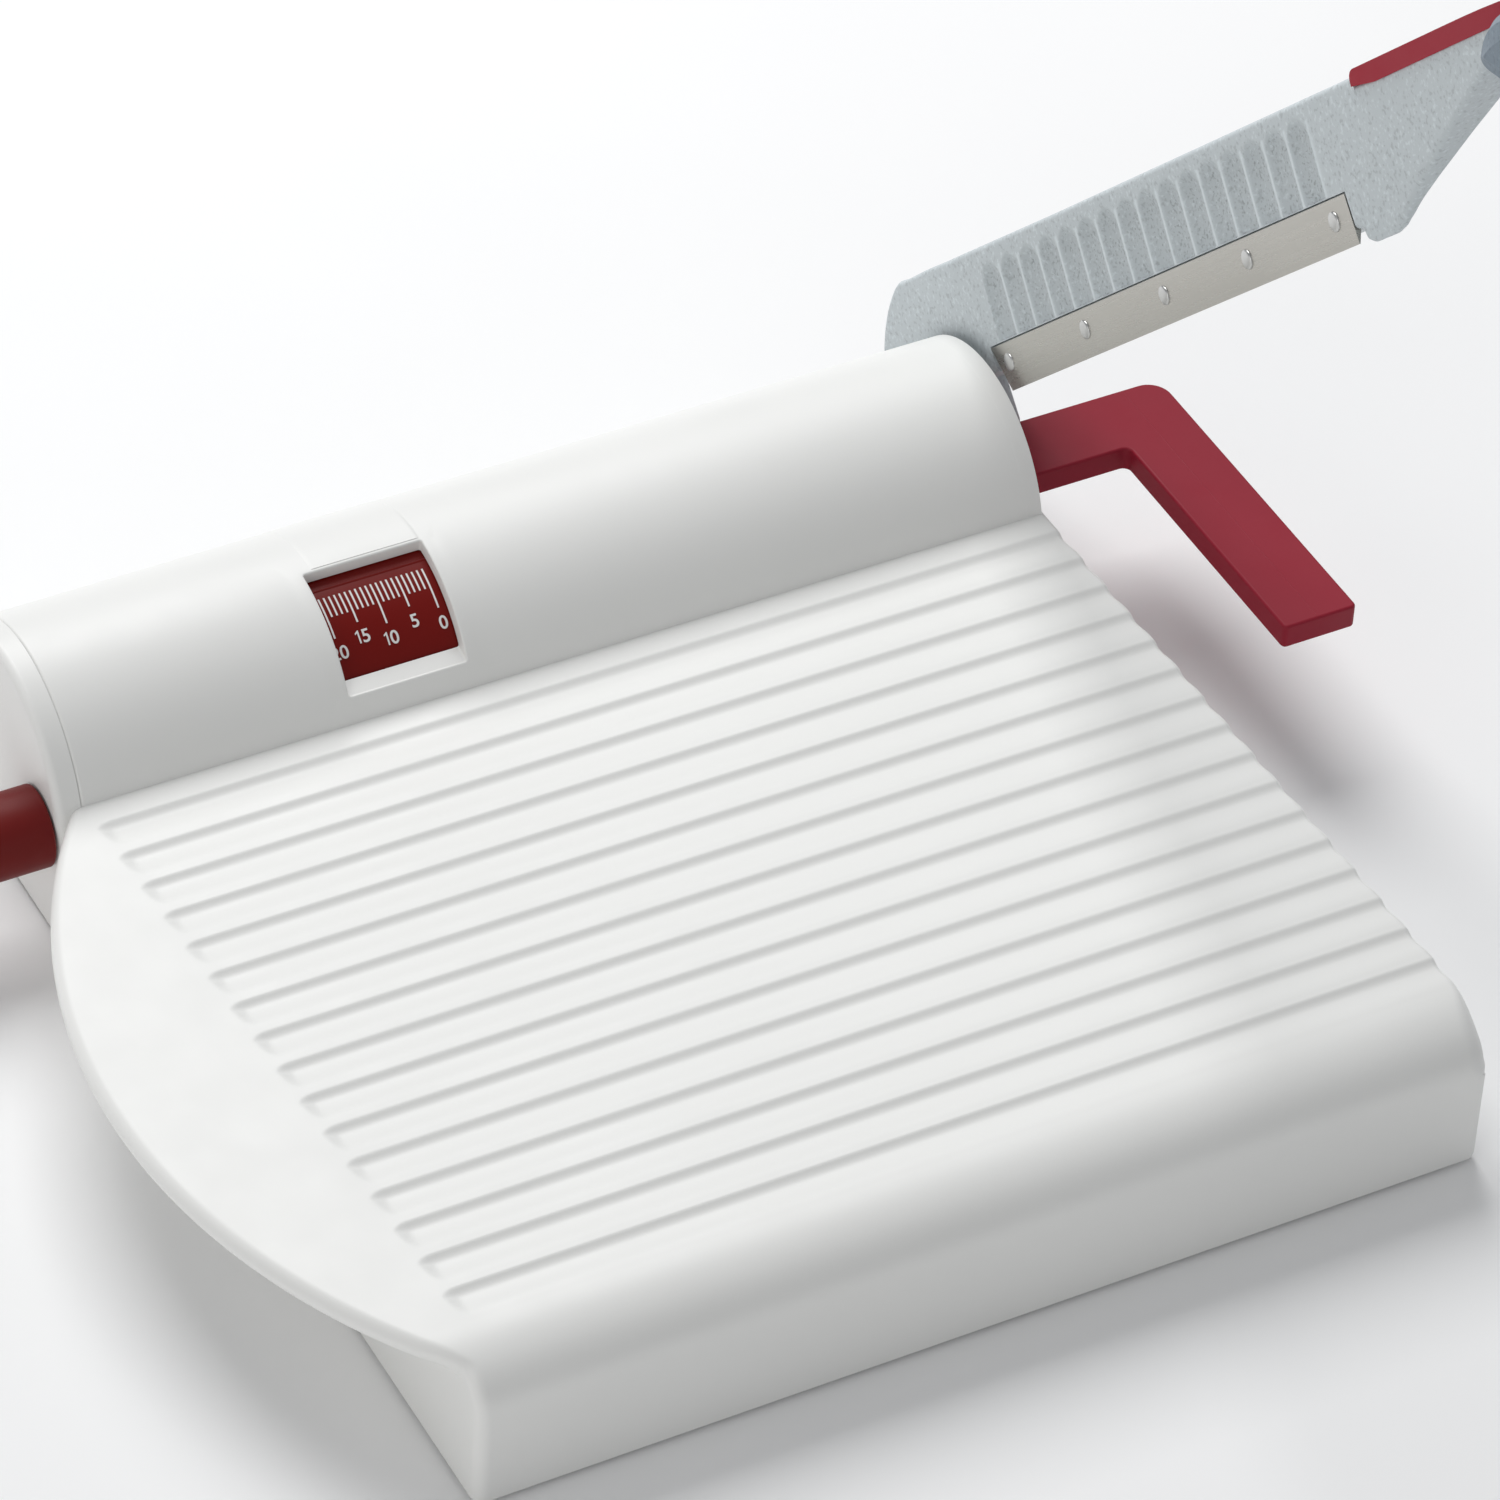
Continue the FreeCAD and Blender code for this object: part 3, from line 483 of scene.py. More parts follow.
def add_piece(name, points, faces, body, material, replaced=(), crease=35.0):
    """A mesh object at the origin that rides on a body, smooth but for edges sharper than the crease."""
    mesh = bpy.data.meshes.new(name)
    mesh.from_pydata(points.tolist(), [], faces)
    work = bmesh.new()
    work.from_mesh(mesh)
    bmesh.ops.recalc_face_normals(work, faces=work.faces)
    open_edges = sum(1 for e in work.edges if len(e.link_faces) != 2)
    work.to_mesh(mesh)
    work.free()
    mesh.polygons.foreach_set("use_smooth", np.ones(len(mesh.polygons), bool))
    mesh.set_sharp_from_angle(angle=math.radians(crease))
    mesh.materials.append(material)
    piece = bpy.data.objects.new(name, mesh)
    bpy.context.scene.collection.objects.link(piece)
    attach(piece, body)
    if replaced:
        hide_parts(*replaced)
    print(name, "faces", len(mesh.polygons), "open edges", open_edges)
    return piece


print("surface helpers ready")

# %% [markdown]
# ## The platform
#
# On the real moulding the deck, the rounded lip and the front wall are one skin, so one
# surface makes them: a profile runs from the rear over the lip and down, and at each of
# its stations a section is laid across. To the left the section reaches out to the edge
# of a circle, which gives the D-shaped overhang. To the right the edge widens towards the
# front. The grooves are a depth below the skin, so they wave that edge where they run out.

# %% The profile from rear to front
LIP_STRETCH = 3.0


def platform_profile(lip):
    """Points and outward normals: straight deck, quarter ellipse as tall as the lip, straight wall."""
    reach = lip + LIP_STRETCH
    deck_y = np.arange(52.5, FRONT + reach, -0.35)
    turn = np.linspace(0.0, np.pi / 2, 17)
    wall_z = np.linspace(DECK_TOP - lip, 0.0, 13)[1:]
    y = np.concatenate([deck_y, FRONT + reach * (1 - np.sin(turn)), np.full(12, FRONT)])
    z = np.concatenate([np.full(len(deck_y), DECK_TOP), DECK_TOP - lip + lip * np.cos(turn), wall_z])
    tilt = np.arctan2(lip * np.sin(turn), reach * np.cos(turn))
    angle = np.concatenate([np.zeros(len(deck_y)), tilt, np.full(12, np.pi / 2)])
    return y, z, -np.sin(angle), np.cos(angle)


profile_y, profile_z, normal_y, normal_z = platform_profile(9.0)
print("profile stations:", len(profile_y))

# %% The grooves
def smooth_step(value, low, high):
    """Rises from 0 to 1 between low and high with level ends."""
    t = np.clip((value - low) / (high - low), 0.0, 1.0)
    return t * t * (3 - 2 * t)


GROOVES = 16
GROOVE_PITCH = 8.37
FIRST_GROOVE = 45.6
FRONT_FLARE = 2.4
FLARE_LENGTH = 130.0


def groove_depth(x, y, depth=0.75, rear=1.8, front=5.2, tip=2.8):
    """Quarter sine down from a crisp rear edge, raised cosine up to the front, an ellipse at the left tip."""
    k = np.clip(np.round((FIRST_GROOVE - 2.0 - y) / GROOVE_PITCH), 0, GROOVES - 1)
    behind = y - (FIRST_GROOVE + 0.5 - rear - GROOVE_PITCH * k)
    across = np.where(behind > 0, behind / rear, -behind / front)
    start = -94.2 + 0.28 * k + tip
    along = np.maximum(0.0, (start - x) / tip)
    reach = np.minimum(1.0, np.sqrt(across ** 2 + along ** 2))
    crisp = np.sin(np.pi / 2 * (1 - reach))
    gentle = np.cos(np.pi / 2 * reach) ** 2
    share = smooth_step(behind, -0.5, 0.9)
    return depth * (share * crisp + (1 - share) * gentle)


print("depth in mid groove:", groove_depth(np.array([0.0]), np.array([FIRST_GROOVE - 1.5])))

# %% The sections
WALL_X = -93.0
DECK_THICK = 4.5


def platform_sections():
    """Place across and depth below the skin for each station: underside, round left edge, top, right edge."""
    n = len(profile_y)
    reach = -4.25 - np.sqrt(np.maximum(116.4 ** 2 - (profile_y + 19.5) ** 2, 0.0))
    left = np.minimum(reach, WALL_X)
    bulge = WALL_X - left
    low_r, top_r = np.minimum(2.25, bulge), 2.25
    lip_side = smooth_step(-profile_y, 84.0, 97.0) * (1 - smooth_step(-profile_z, -22.0, -16.0))
    right_r = 1.2 + 3.4 * lip_side
    flare = RIGHT + FRONT_FLARE * np.clip((profile_y[0] - profile_y) / FLARE_LENGTH, 0.0, 1.0)
    flare = flare - 1.3 * smooth_step(-profile_z, -20.5, -16.0)
    turn = np.linspace(0.0, np.pi / 2, 7)
    columns, depths = [], []
    for share in (0.0, 0.5):
        columns.append(WALL_X + share * (left + low_r - WALL_X))
        depths.append(np.full(n, DECK_THICK))
    for t in turn:
        columns.append(left + low_r - low_r * np.sin(t))
        depths.append(DECK_THICK - low_r + low_r * np.cos(t))
    for t in turn:
        columns.append(left + top_r - top_r * np.cos(t))
        depths.append(np.full(n, top_r - top_r * np.sin(t)))
    inner = np.maximum(left + top_r + 0.4, -95.0)
    for share in np.linspace(0.0, 1.0, 24):
        columns.append(inner + share * 12.0)
        depths.append(np.zeros(n))
    for share in np.linspace(0.0, 1.0, 12)[1:]:
        columns.append(inner + 12.0 + share * (flare - right_r - inner - 12.0))
        depths.append(np.zeros(n))
    for t in turn[1:]:
        columns.append(flare - right_r + right_r * np.sin(t))
        depths.append(right_r * (1 - np.cos(t)))
    x, depth = np.stack(columns, 1), np.stack(depths, 1)
    skin = (np.arange(x.shape[1]) >= 15)[None, :]
    y = np.repeat(profile_y[:, None], x.shape[1], 1)
    level = (normal_z > 0.999)[:, None]
    return x, depth + groove_depth(x, y) * skin * level


section_x, section_depth = platform_sections()
print("sections:", section_x.shape)

# %% Close the platform and add it
def platform_mesh():
    """The skin grid, flat side, rear and bottom faces, and a hollow for the works."""
    skin = np.stack([section_x, profile_y[:, None] - normal_y[:, None] * section_depth,
                     profile_z[:, None] - normal_z[:, None] * section_depth], axis=2)
    rear = profile_y[0]
    left_end, row = skin[-1, 0], skin[-1]
    cut = int(np.argmin(np.abs(row[:, 0])))
    mid_rear = [0.0, rear, 0.0]
    bottom_left, bottom_right = [WALL_X, rear, 0.0], [RIGHT, rear, 0.0]
    hollow = [[WALL_X + 2.4, rear - 3.0], [WALL_X + 2.4, FRONT + 2.6], [row[cut, 0], FRONT + 2.6],
              [RIGHT - 2.4, FRONT + 2.6], [RIGHT - 2.4, rear - 3.0], [0.0, rear - 3.0]]
    low = [[a, b, 0.0] for a, b in hollow]
    high = [[a, b, DECK_TOP - DECK_THICK - 0.6] for a, b in hollow]
    loops = [np.vstack([skin[:, 0], [bottom_left]]), np.vstack([skin[:, -1], [bottom_right]]),
             np.vstack([skin[0], [bottom_right, mid_rear, bottom_left]]),
             np.vstack([[bottom_left], [left_end], row[1:cut + 1],
                        [low[2], low[1], low[0], low[5], mid_rear]]),
             np.vstack([row[cut:], [bottom_right, mid_rear, low[5], low[4], low[3], low[2]]]),
             np.array(high)]
    loops += [np.array([low[i], low[(i + 1) % 6], high[(i + 1) % 6], high[i]]) for i in range(6)]
    return merge_grids([skin], loops)


platform_points, platform_faces = platform_mesh()
platform = add_piece("platform_moulding", platform_points, platform_faces, "base", white_satin,
                     ["base_body"])

# %% [markdown]
# ## The housing
#
# The housing is a tube lying on the platform's rear edge, open in front for the scale.
# Its skin is worked out flat, as distance along the axis and angle around it, and then
# rolled up. Around the window the flat grid gives way to a frame of rounded rectangles,
# one inside the other, whose last rows turn inwards over a soft edge.

# %% Rounded rectangles and the roll
SHELL_WALL = 2.4
END_SOFT = 0.7


def rounded_rectangle(centre, half, radius, side_points=25, corner_points=7):
    """Loop of four straight sides and four quarter circles, in the same order for every size."""
    turns = np.linspace(0.0, np.pi / 2, corner_points)
    loop = []
    for quarter, (sx, sy) in enumerate(((1, -1), (1, 1), (-1, 1), (-1, -1))):
        corner = np.array([sx * (half[0] - radius), sy * (half[1] - radius)])
        before = np.array([(-1, -1), (1, -1), (1, 1), (-1, 1)][quarter])
        start = before * (np.array(half) - radius)
        side = np.linspace(0.0, 1.0, side_points)[:, None] * (corner - start) + start
        push = [(0, -1), (1, 0), (0, 1), (-1, 0)][quarter]
        side = side + np.array(push) * radius
        angle = (quarter - 1) * np.pi / 2 + turns
        arc = corner + radius * np.stack([np.cos(angle), np.sin(angle)], 1)
        loop += [side, arc]
    loop = np.concatenate(loop)
    return np.concatenate([loop, loop[:1]]) + np.array(centre)


def roll(flat, depth=0.0):
    """Flat (x, arc length) to the tube: angle is arc over radius; the left end is a quarter circle."""
    angle = flat[..., 1] / HOUSING_RADIUS
    room = np.clip(shell_low[0] + END_SOFT - flat[..., 0], 0.0, END_SOFT)
    round_off = (END_SOFT - np.sqrt(END_SOFT ** 2 - room ** 2)) * (np.asarray(depth) < SHELL_WALL - 0.01)
    radius = HOUSING_RADIUS - depth - round_off
    return np.stack([flat[..., 0], HOUSING_Y - radius * np.cos(angle),
                     HOUSING_Z + radius * np.sin(angle)], -1)


print("loop points:", len(rounded_rectangle((0, 0), (5, 3), 1)))

# %% Roll up the housing
WINDOW_MID = np.array([-31.4, math.radians(55.5) * HOUSING_RADIUS])
WINDOW_HALF = np.array([11.4, math.radians(27.5) * HOUSING_RADIUS])


def shell_patches(depth, low_end, high_end):
    """Eight flat grids around the window's outer frame, rolled up at one depth."""
    frame_low, frame_high = WINDOW_MID - WINDOW_HALF - 4, WINDOW_MID + WINDOW_HALF + 4
    soft = END_SOFT * (1 - np.cos(np.linspace(0.0, np.pi / 2, 6)))
    x_parts = [np.concatenate([shell_low[0] + soft, np.linspace(shell_low[0] + 1.0, frame_low[0], 9)]),
               np.linspace(frame_low[0], frame_high[0], 25),
               np.linspace(frame_high[0], shell_high[0], 25)]
    s_parts = [np.linspace(low_end, frame_low[1], 30), np.linspace(frame_low[1], frame_high[1], 25),
               np.linspace(frame_high[1], high_end, 70)]
    patches = []
    for i, xs in enumerate(x_parts):
        for j, arcs in enumerate(s_parts):
            if (i, j) != (1, 1):
                flat = np.stack(np.meshgrid(xs, arcs, indexing="ij"), -1)
                patches.append(roll(flat, depth))
    ends = [np.concatenate([s_parts[0], s_parts[1][1:], s_parts[2][1:]]), np.concatenate(
        [x_parts[0], x_parts[1][1:], x_parts[2][1:]])]
    return patches, ends


SILL_LEAN = np.array([0.0, 1.25])


def housing_mesh(edge=0.35, corner=0.5):
    """Outer and inner skins, the window's frame of loops, and strips that join the skins at every end."""
    outer_low = -math.asin(HOUSING_Z / HOUSING_RADIUS) * HOUSING_RADIUS
    outer_high = math.pi * HOUSING_RADIUS - outer_low
    grids, (arcs, xs) = shell_patches(0.0, outer_low, outer_high)
    grids += shell_patches(SHELL_WALL, outer_low, outer_high)[0]
    rows = []
    rows.append(roll(rounded_rectangle(WINDOW_MID, WINDOW_HALF + 4, 0.0)))
    for grow in (2.4, 1.0, edge):
        rows.append(roll(rounded_rectangle(WINDOW_MID, WINDOW_HALF + grow, corner + grow)))
    for turn in np.linspace(0.0, np.pi / 2, 6)[1:]:
        grow = edge * (1 - math.sin(turn))
        loop = rounded_rectangle(WINDOW_MID, WINDOW_HALF + grow, corner + grow)
        rows.append(roll(loop, edge * (1 - math.cos(turn))))
    rows.append(roll(rounded_rectangle(WINDOW_MID + SILL_LEAN, WINDOW_HALF - SILL_LEAN, corner), SHELL_WALL))
    rows.append(roll(rounded_rectangle(WINDOW_MID, WINDOW_HALF + 4, 0.0), SHELL_WALL))
    grids.append(np.stack(rows))
    for x in (shell_low[0], shell_high[0]):
        flat = np.stack([np.full(len(arcs), x), arcs], -1)
        grids.append(np.stack([roll(flat), roll(flat, SHELL_WALL)]))
    for arc in (outer_low, outer_high):
        flat = np.stack([xs, np.full(len(xs), arc)], -1)
        grids.append(np.stack([roll(flat), roll(flat, SHELL_WALL)]))
    return merge_grids(grids)


housing_points, housing_faces = housing_mesh()
housing = add_piece("housing_moulding", housing_points, housing_faces, "base", white_satin,
                    ["housing_shell"])

# %% [markdown]
# ## The bridge over the scale
#
# Behind the window a slightly raised band runs over the top of the housing, where the
# shell is joined above the scale. It is a thin curved plate whose edges fall away.

# %% Lay the bridge
def bridge_mesh(raised=0.14, soft=0.7):
    """A rolled patch whose height is a soft step in from its sides, closed underneath."""
    low, high = node_box("scale_bridge")
    x = np.concatenate([low[0] + soft * (1 - np.cos(np.linspace(0, np.pi / 2, 6))),
                        np.linspace(low[0] + 1.0, high[0] - 1.0, 10),
                        high[0] - soft * (1 - np.cos(np.linspace(np.pi / 2, 0, 6)))])
    arc = np.radians(np.linspace(84.5, 164.0, 60)) * HOUSING_RADIUS
    flat = np.stack(np.meshgrid(x, arc, indexing="ij"), -1)
    side = np.minimum(flat[..., 0] - x[0], x[-1] - flat[..., 0])
    end = arc[-1] - flat[..., 1]
    lift = raised * smooth_step(np.minimum(side, end), 0.0, soft) - 0.02
    over, under = roll(flat, -lift), roll(flat, 0.6)
    strips = [np.stack([over[0], under[0]]), np.stack([over[-1], under[-1]]),
              np.stack([over[:, 0], under[:, 0]]), np.stack([over[:, -1], under[:, -1]])]
    return merge_grids([over, under] + strips)


bridge_points, bridge_faces = bridge_mesh()
bridge = add_piece("scale_bridge_moulding", bridge_points, bridge_faces, "base", white_satin,
                   ["scale_bridge"])

# %% [markdown]
# ## The lever's arm
#
# The arm is measured along the lever and across it, from the pivot. At each station
# along it a rounded rectangle goes round its section, from the lower edge to the spine,
# and the side that faces the platform is pressed in for the blade and for the flutes.

# %% From lever measurements to the frame
pivot = next(j for j in frame["joints"] if j["name"] == "lever_pivot")
arm_low, arm_high = node_box("lever_arm")
PIVOT = np.array(pivot["pos_m"]) / MM
RISE = math.radians(45.9)
ARM_INNER = arm_high[0] - 8.0


def lever_place(along, across, x):
    """Turns lever measurements through the stored rise and moves them to the pivot."""
    y = PIVOT[1] - along * math.cos(RISE) + across * math.sin(RISE)
    z = PIVOT[2] + along * math.sin(RISE) + across * math.cos(RISE)
    return np.stack(np.broadcast_arrays(x, y, z), -1)


print("pivot", PIVOT, "arm inner face", round(float(ARM_INNER), 2))

# %% The arm's lower and upper edges
SPINE = 30.3
LOBE = 33.59
FLUTES = 16
FLUTE_PITCH = 8.72
FIRST_RIDGE = 24.3


def arm_stations():
    """Places along the arm: twenty to a flute, and close together at every step of the outline."""
    rear = LOBE * math.cos(math.radians(150.0))
    ends = rear + 1.2 * (1 - np.cos(np.linspace(0.0, np.pi / 2, 8)))
    flutes = FIRST_RIDGE + FLUTE_PITCH * np.arange(FLUTES * 20 + 1) / 20
    steps = [5.49, 5.5, 19.99, 20.0, 22.4, 22.9, 170.49, 170.5, 172.8, 173.4, 184.49, 184.5]
    parts = [ends, np.linspace(ends[-1], 24.0, 60), flutes, np.linspace(164.5, 190.0, 36),
             np.linspace(190.0, 305.0, 70), steps]
    return np.unique(np.round(np.concatenate(parts), 4))


def arm_edges(s):
    """Lower edge as straight runs between corners, upper edge as the lobe's circle and then the spine."""
    hub = 5.5
    low_s = [-29.1, -5.29, -3.9, 0.0, 3.9, 5.49, 5.5, 22.4, 22.9, 172.8, 173.4, 174.6, 182.0, 185.0,
             187.4, 190.8, 208.6, 228.8, 236.0, 240.0, 246.0, 305.0]
    low_t = [16.8, -1.5, -3.88, -hub, -3.88, -0.5, 8.8, 8.8, 7.0, 7.0, 4.5, 4.0, 4.0, 4.6,
             5.7, 7.5, 14.9, 22.9, 24.2, 24.2, 17.0, 10.0]
    low = np.interp(s, low_s, low_t)
    circle = np.sqrt(np.maximum(LOBE ** 2 - np.minimum(s, 0.0) ** 2, 0.0))
    spine = np.interp(s, [-20.0, -8.0, 3.0, 15.0, 60.0, 184.49, 184.5, 236.0, 305.0],
                      [34.0, 31.4, 31.5, 31.25, 30.8, SPINE, SPINE - 1.6, SPINE - 1.6, 20.0])
    soft = 0.5 * (circle + spine - np.sqrt((circle - spine) ** 2 + 0.6))
    high = np.where(s < 14.0, soft, spine)
    return low, np.maximum(high, low + 0.05)


stations = arm_stations()
edge_low, edge_high = arm_edges(stations)
print("arm stations:", len(stations))

# %% The pressed-in side
def flute_depth(s, t, deep=1.1):
    """Half ellipses between narrow flat ridges; an ellipse closes each one at the top."""
    place = (s - FIRST_RIDGE) / FLUTE_PITCH
    inside = (place > 0) & (place < FLUTES) & (t > 13.65)
    part = np.clip((place - np.floor(place) - 0.07) / 0.86, 0.0, 1.0)
    up = np.clip((t - 23.9) / 3.8, 0.0, 1.0)
    return np.where(inside, deep * np.sqrt(np.clip(1 - (2 * part - 1) ** 2 - up ** 2, 0.0, 1.0)), 0.0)


def blade_seat(s, t):
    """A straight-sided recess for the blade, down to and past the arm's lower edge."""
    return np.where((s >= 20.0) & (s <= 170.49) & (t < 13.6), 1.25, 0.0)


def flute_lean(s, t):
    """The flutes lean forward as they rise, but only where there are flutes."""
    here = smooth_step(s, 10.0, 23.0) * (1 - smooth_step(s, 165.0, 178.0))
    return 0.085 * np.clip(t - 13.8, 0.0, 13.9) * here


print("flute in its middle:", flute_depth(np.array([FIRST_RIDGE + 4.36]), np.array([18.0])))

# %% Close the arm and add it
def arm_mesh():
    """A rounded rectangle round every section; the toe is thin, chamfered away on its outer side."""
    turn = np.linspace(0.0, np.pi / 2, 7)
    tall = edge_high - edge_low
    room = np.minimum(1.0, tall / 2.05)
    thick = np.interp(stations, [170.0, 173.0, 186.0, 197.0, 206.0, 217.0], [8.0, 2.2, 2.2, 3.9, 5.7, 8.0])
    bottom, top, outer = edge_low + room, edge_high - room, ARM_INNER + 8.0
    chamfer = np.minimum((8.0 - thick) * 1.25, tall - 2 * room)
    under = ARM_INNER + np.maximum(thick, 2 * room) - room
    rows = [(bottom - room * np.cos(a), ARM_INNER + room * (1 - np.sin(a))) for a in turn]
    levels = np.concatenate([[8.0, 10.0, 13.59, 13.61], np.linspace(13.9, 28.4, 36)])
    rows += [(np.clip(level, bottom, top), np.full_like(room, ARM_INNER)) for level in levels]
    facing = len(rows)
    rows += [(top + room * np.sin(a), ARM_INNER + room * (1 - np.cos(a))) for a in turn]
    rows += [(top + room * np.cos(a), outer - room * (1 - np.sin(a))) for a in turn]
    rows += [(bottom + chamfer * (1 - k), under + room + (outer - under - room) * (1 - k))
             for k in (0.0, 0.5)]
    rows += [(edge_low + room * (1 - np.sin(a)), under + room * np.cos(a)) for a in turn]
    t, x = (np.stack([row[i] for row in rows] + [rows[0][i]], 1) for i in (0, 1))
    s = np.repeat(stations[:, None], t.shape[1], 1)
    pressed = np.maximum(flute_depth(s, t), blade_seat(s, t)) * (np.arange(t.shape[1]) < facing)
    grid = lever_place(s + flute_lean(s, t), t, np.maximum(x, np.minimum(x + pressed, outer - 1.0)))
    grid[:, -1] = grid[:, 0]
    return merge_grids([grid], [grid[0, :-1], grid[-1, :-1]])


def lever_measures(points):
    """The way back from the frame to distance along and across the lever."""
    y, z = points[:, 1] / MM - PIVOT[1], points[:, 2] / MM - PIVOT[2]
    return -y * math.cos(RISE) + z * math.sin(RISE), y * math.sin(RISE) + z * math.cos(RISE)


arm_points, arm_faces = arm_mesh()
arm = add_piece("lever_arm_moulding", arm_points, arm_faces, "lever", lever_grey,
                ["lever_arm"])

# %% [markdown]
# ## Flutes that read as flutes
#
# The flutes are darkened by painted shade that deepens with each flute, broken by coarse
# flecks, and the ridges are paled by a painted highlight. Two values stored on the arm's
# points say how deep in a flute and how near a ridge each one is, and the arm's own finish reads them.

# %% Store the flutes on the arm
def store_value(piece, name, values):
    """One number per point, for a material's Attribute node."""
    layer = piece.data.attributes.new(name, "FLOAT", "POINT")
    layer.data.foreach_set("value", values.astype(np.float32))


mesh_points = np.zeros(len(arm.data.vertices) * 3)
arm.data.vertices.foreach_get("co", mesh_points)
mesh_points = mesh_points.reshape(-1, 3)
along, across = lever_measures(mesh_points)
straight = along - flute_lean(along, across)
inner_side = mesh_points[:, 0] / MM < ARM_INNER + 2.0
# The flute depth also sets the painted shade in the arm's finish.
store_value(arm, "flute", np.clip(flute_depth(straight, across), 0.0, 1.0) * inner_side)
ridge_place = (straight - FIRST_RIDGE) / FLUTE_PITCH
near_ridge = 1 - np.clip(np.abs(ridge_place - np.round(ridge_place)) / 0.10, 0.0, 1.0)
ridge_here = (ridge_place > 0.5) & (ridge_place < FLUTES + 0.5) & (across > 13.7) & (across < 27.0)
# The ridge value marks where the arm's finish paints a highlight.
store_value(arm, "ridge", near_ridge * ridge_here * inner_side)
print("points in flutes:", int((flute_depth(straight, across) > 0.1).sum()))

# %% The fluted finish, with painted shade and a painted highlight
def read_value(tree, name):
    """An Attribute node's number."""
    node = tree.nodes.new("ShaderNodeAttribute")
    node.attribute_name = name
    return node.outputs["Fac"]


def fluted(name, colour):
    """The speckled recipe with painted shade, darker with depth in the flutes, and a painted highlight, paler on
    the ridges.
    """
    material = speckled(name, colour, 0.5)
    tree = material.node_tree
    shader = tree.nodes["Principled BSDF"]
    before = shader.inputs["Base Color"].links[0].from_socket
    coarse = place_group(tree, speckle_group, Fleck_Scale=1900.0)
    flute, ridge = read_value(tree, "flute"), read_value(tree, "ridge")
    # Painted shade: the colour darkens with the flute's depth, more where the coarse flecks fall.
    painted_flute_shade = add_math(tree, "MULTIPLY", flute, add_math(tree, "ADD", coarse.outputs["Dark"], 0.32))
    low = add_mix(tree, add_math(tree, "MULTIPLY", painted_flute_shade, 0.6), before, shift(colour, 0.5))
    # Painted highlight: the colour is paled near each ridge.
    high = add_mix(tree, add_math(tree, "MULTIPLY", ridge, 0.75), low, shift(colour, 1.32))
    tree.links.new(high, shader.inputs["Base Color"])
    return material


arm.data.materials[0] = fluted("lever_grey_fluted_painted_shade", (0.56, 0.61, 0.63, 1.0))
print("arm finish:", arm.data.materials[0].name)

# %% [markdown]
# ## The rivets
#
# Five rivets hold the blade. Each is a pin through the arm with a low dome on the blade's
# face: one curve turned about its own axis.

# %% Turn the rivets
def turned(profile, centre_s, centre_t):
    """A profile of (radius, height above the blade) turned about an axis square to the arm."""
    turn = np.linspace(0.0, 2 * np.pi, 33)
    radius, height = np.array(profile, float).T
    s = centre_s + radius[:, None] * np.cos(turn)
    t = centre_t + radius[:, None] * np.sin(turn)
    return lever_place(s, t, ARM_INNER - height[:, None] + 0.0 * s)


RIVET_PROFILE = [(0.0, -8.2), (1.2, -8.2), (1.45, -8.0), (1.45, -0.6), (1.75, -0.6), (1.75, 0.12),
                 (1.68, 0.22), (1.5, 0.32), (1.1, 0.42), (0.6, 0.47), (0.0, 0.48)]
rivet_points, rivet_faces = merge_grids([turned(RIVET_PROFILE, 26.0 + 34.45 * k, 9.7) for k in range(5)])
rivets = add_piece("rivet_domes", rivet_points, rivet_faces, "lever", fastener_finish,
                   ["blade_rivets"])

# %% [markdown]
# ## The slice stop
#
# The stop is a flat L of crimson plastic: a bar that comes out of the housing and a leg
# beside the platform. Its outline is drawn once, raised to a thick plate, and given soft
# edges by a bevel.

# %% Draw the stop
def rounded_corner(corner, before, after, radius, points=9):
    """Quarter circle that replaces a right-angled corner between two directions."""
    corner, before, after = np.array(corner), np.array(before), np.array(after)
    turn = np.linspace(0.0, np.pi / 2, points)[:, None]
    centre = corner - before * radius + after * radius
    return centre - after * radius * np.cos(turn) + before * radius * np.sin(turn)


def stop_mesh():
    """Outline points at two heights, joined by walls and closed by one face above and one below."""
    low, high = node_box("stop_bar")
    inner = high[0] - 15.0
    back, front = high[1], high[1] - 15.0
    outline = np.vstack([[[low[0], front]],
                         rounded_corner((inner, front), (1, 0), (0, -1), 1.5),
                         rounded_corner((inner, low[1]), (0, -1), (1, 0), 1.0, 5),
                         rounded_corner((high[0], low[1]), (1, 0), (0, 1), 1.0, 5),
                         rounded_corner((high[0], back), (0, 1), (-1, 0), 4.5, 11),
                         [[low[0], back]]])
    ring = np.vstack([outline, outline[:1]])
    under = np.column_stack([ring, np.full(len(ring), low[2])])
    over = np.column_stack([ring, np.full(len(ring), high[2])])
    return merge_grids([np.stack([under, over])], [under[:-1], over[:-1]])


def soften(piece, width, steps=3):
    """A bevel on edges sharper than 40 degrees, with normals that keep the flat faces flat."""
    bevel = piece.modifiers.new("soft_edges", "BEVEL")
    bevel.width = width * MM
    bevel.segments = steps
    bevel.limit_method = "ANGLE"
    bevel.angle_limit = math.radians(40.0)
    bevel.harden_normals = True


stop_points, stop_faces = stop_mesh()
stop = add_piece("slice_stop_plate", stop_points, stop_faces, "slice_stop", crimson,
                 ["stop_bar"])
soften(stop, 0.55)

# %% Add the witness line
def witness_mesh(x, start, end, level, half=0.13, rise=0.05):
    """A fine raised line left by the mould: a low half ellipse carried along the leg."""
    turn = np.linspace(0.0, 2 * np.pi, 13)
    y = np.linspace(start, end, 12)
    across = x + half * np.cos(turn)
    up = level + rise * np.sin(turn)
    grid = np.stack([np.broadcast_to(across, (12, 13)), np.repeat(y[:, None], 13, 1),
                     np.broadcast_to(up, (12, 13))], -1)
    grid[:, -1] = grid[:, 0]
    return merge_grids([grid], [grid[0, :-1], grid[-1, :-1]])


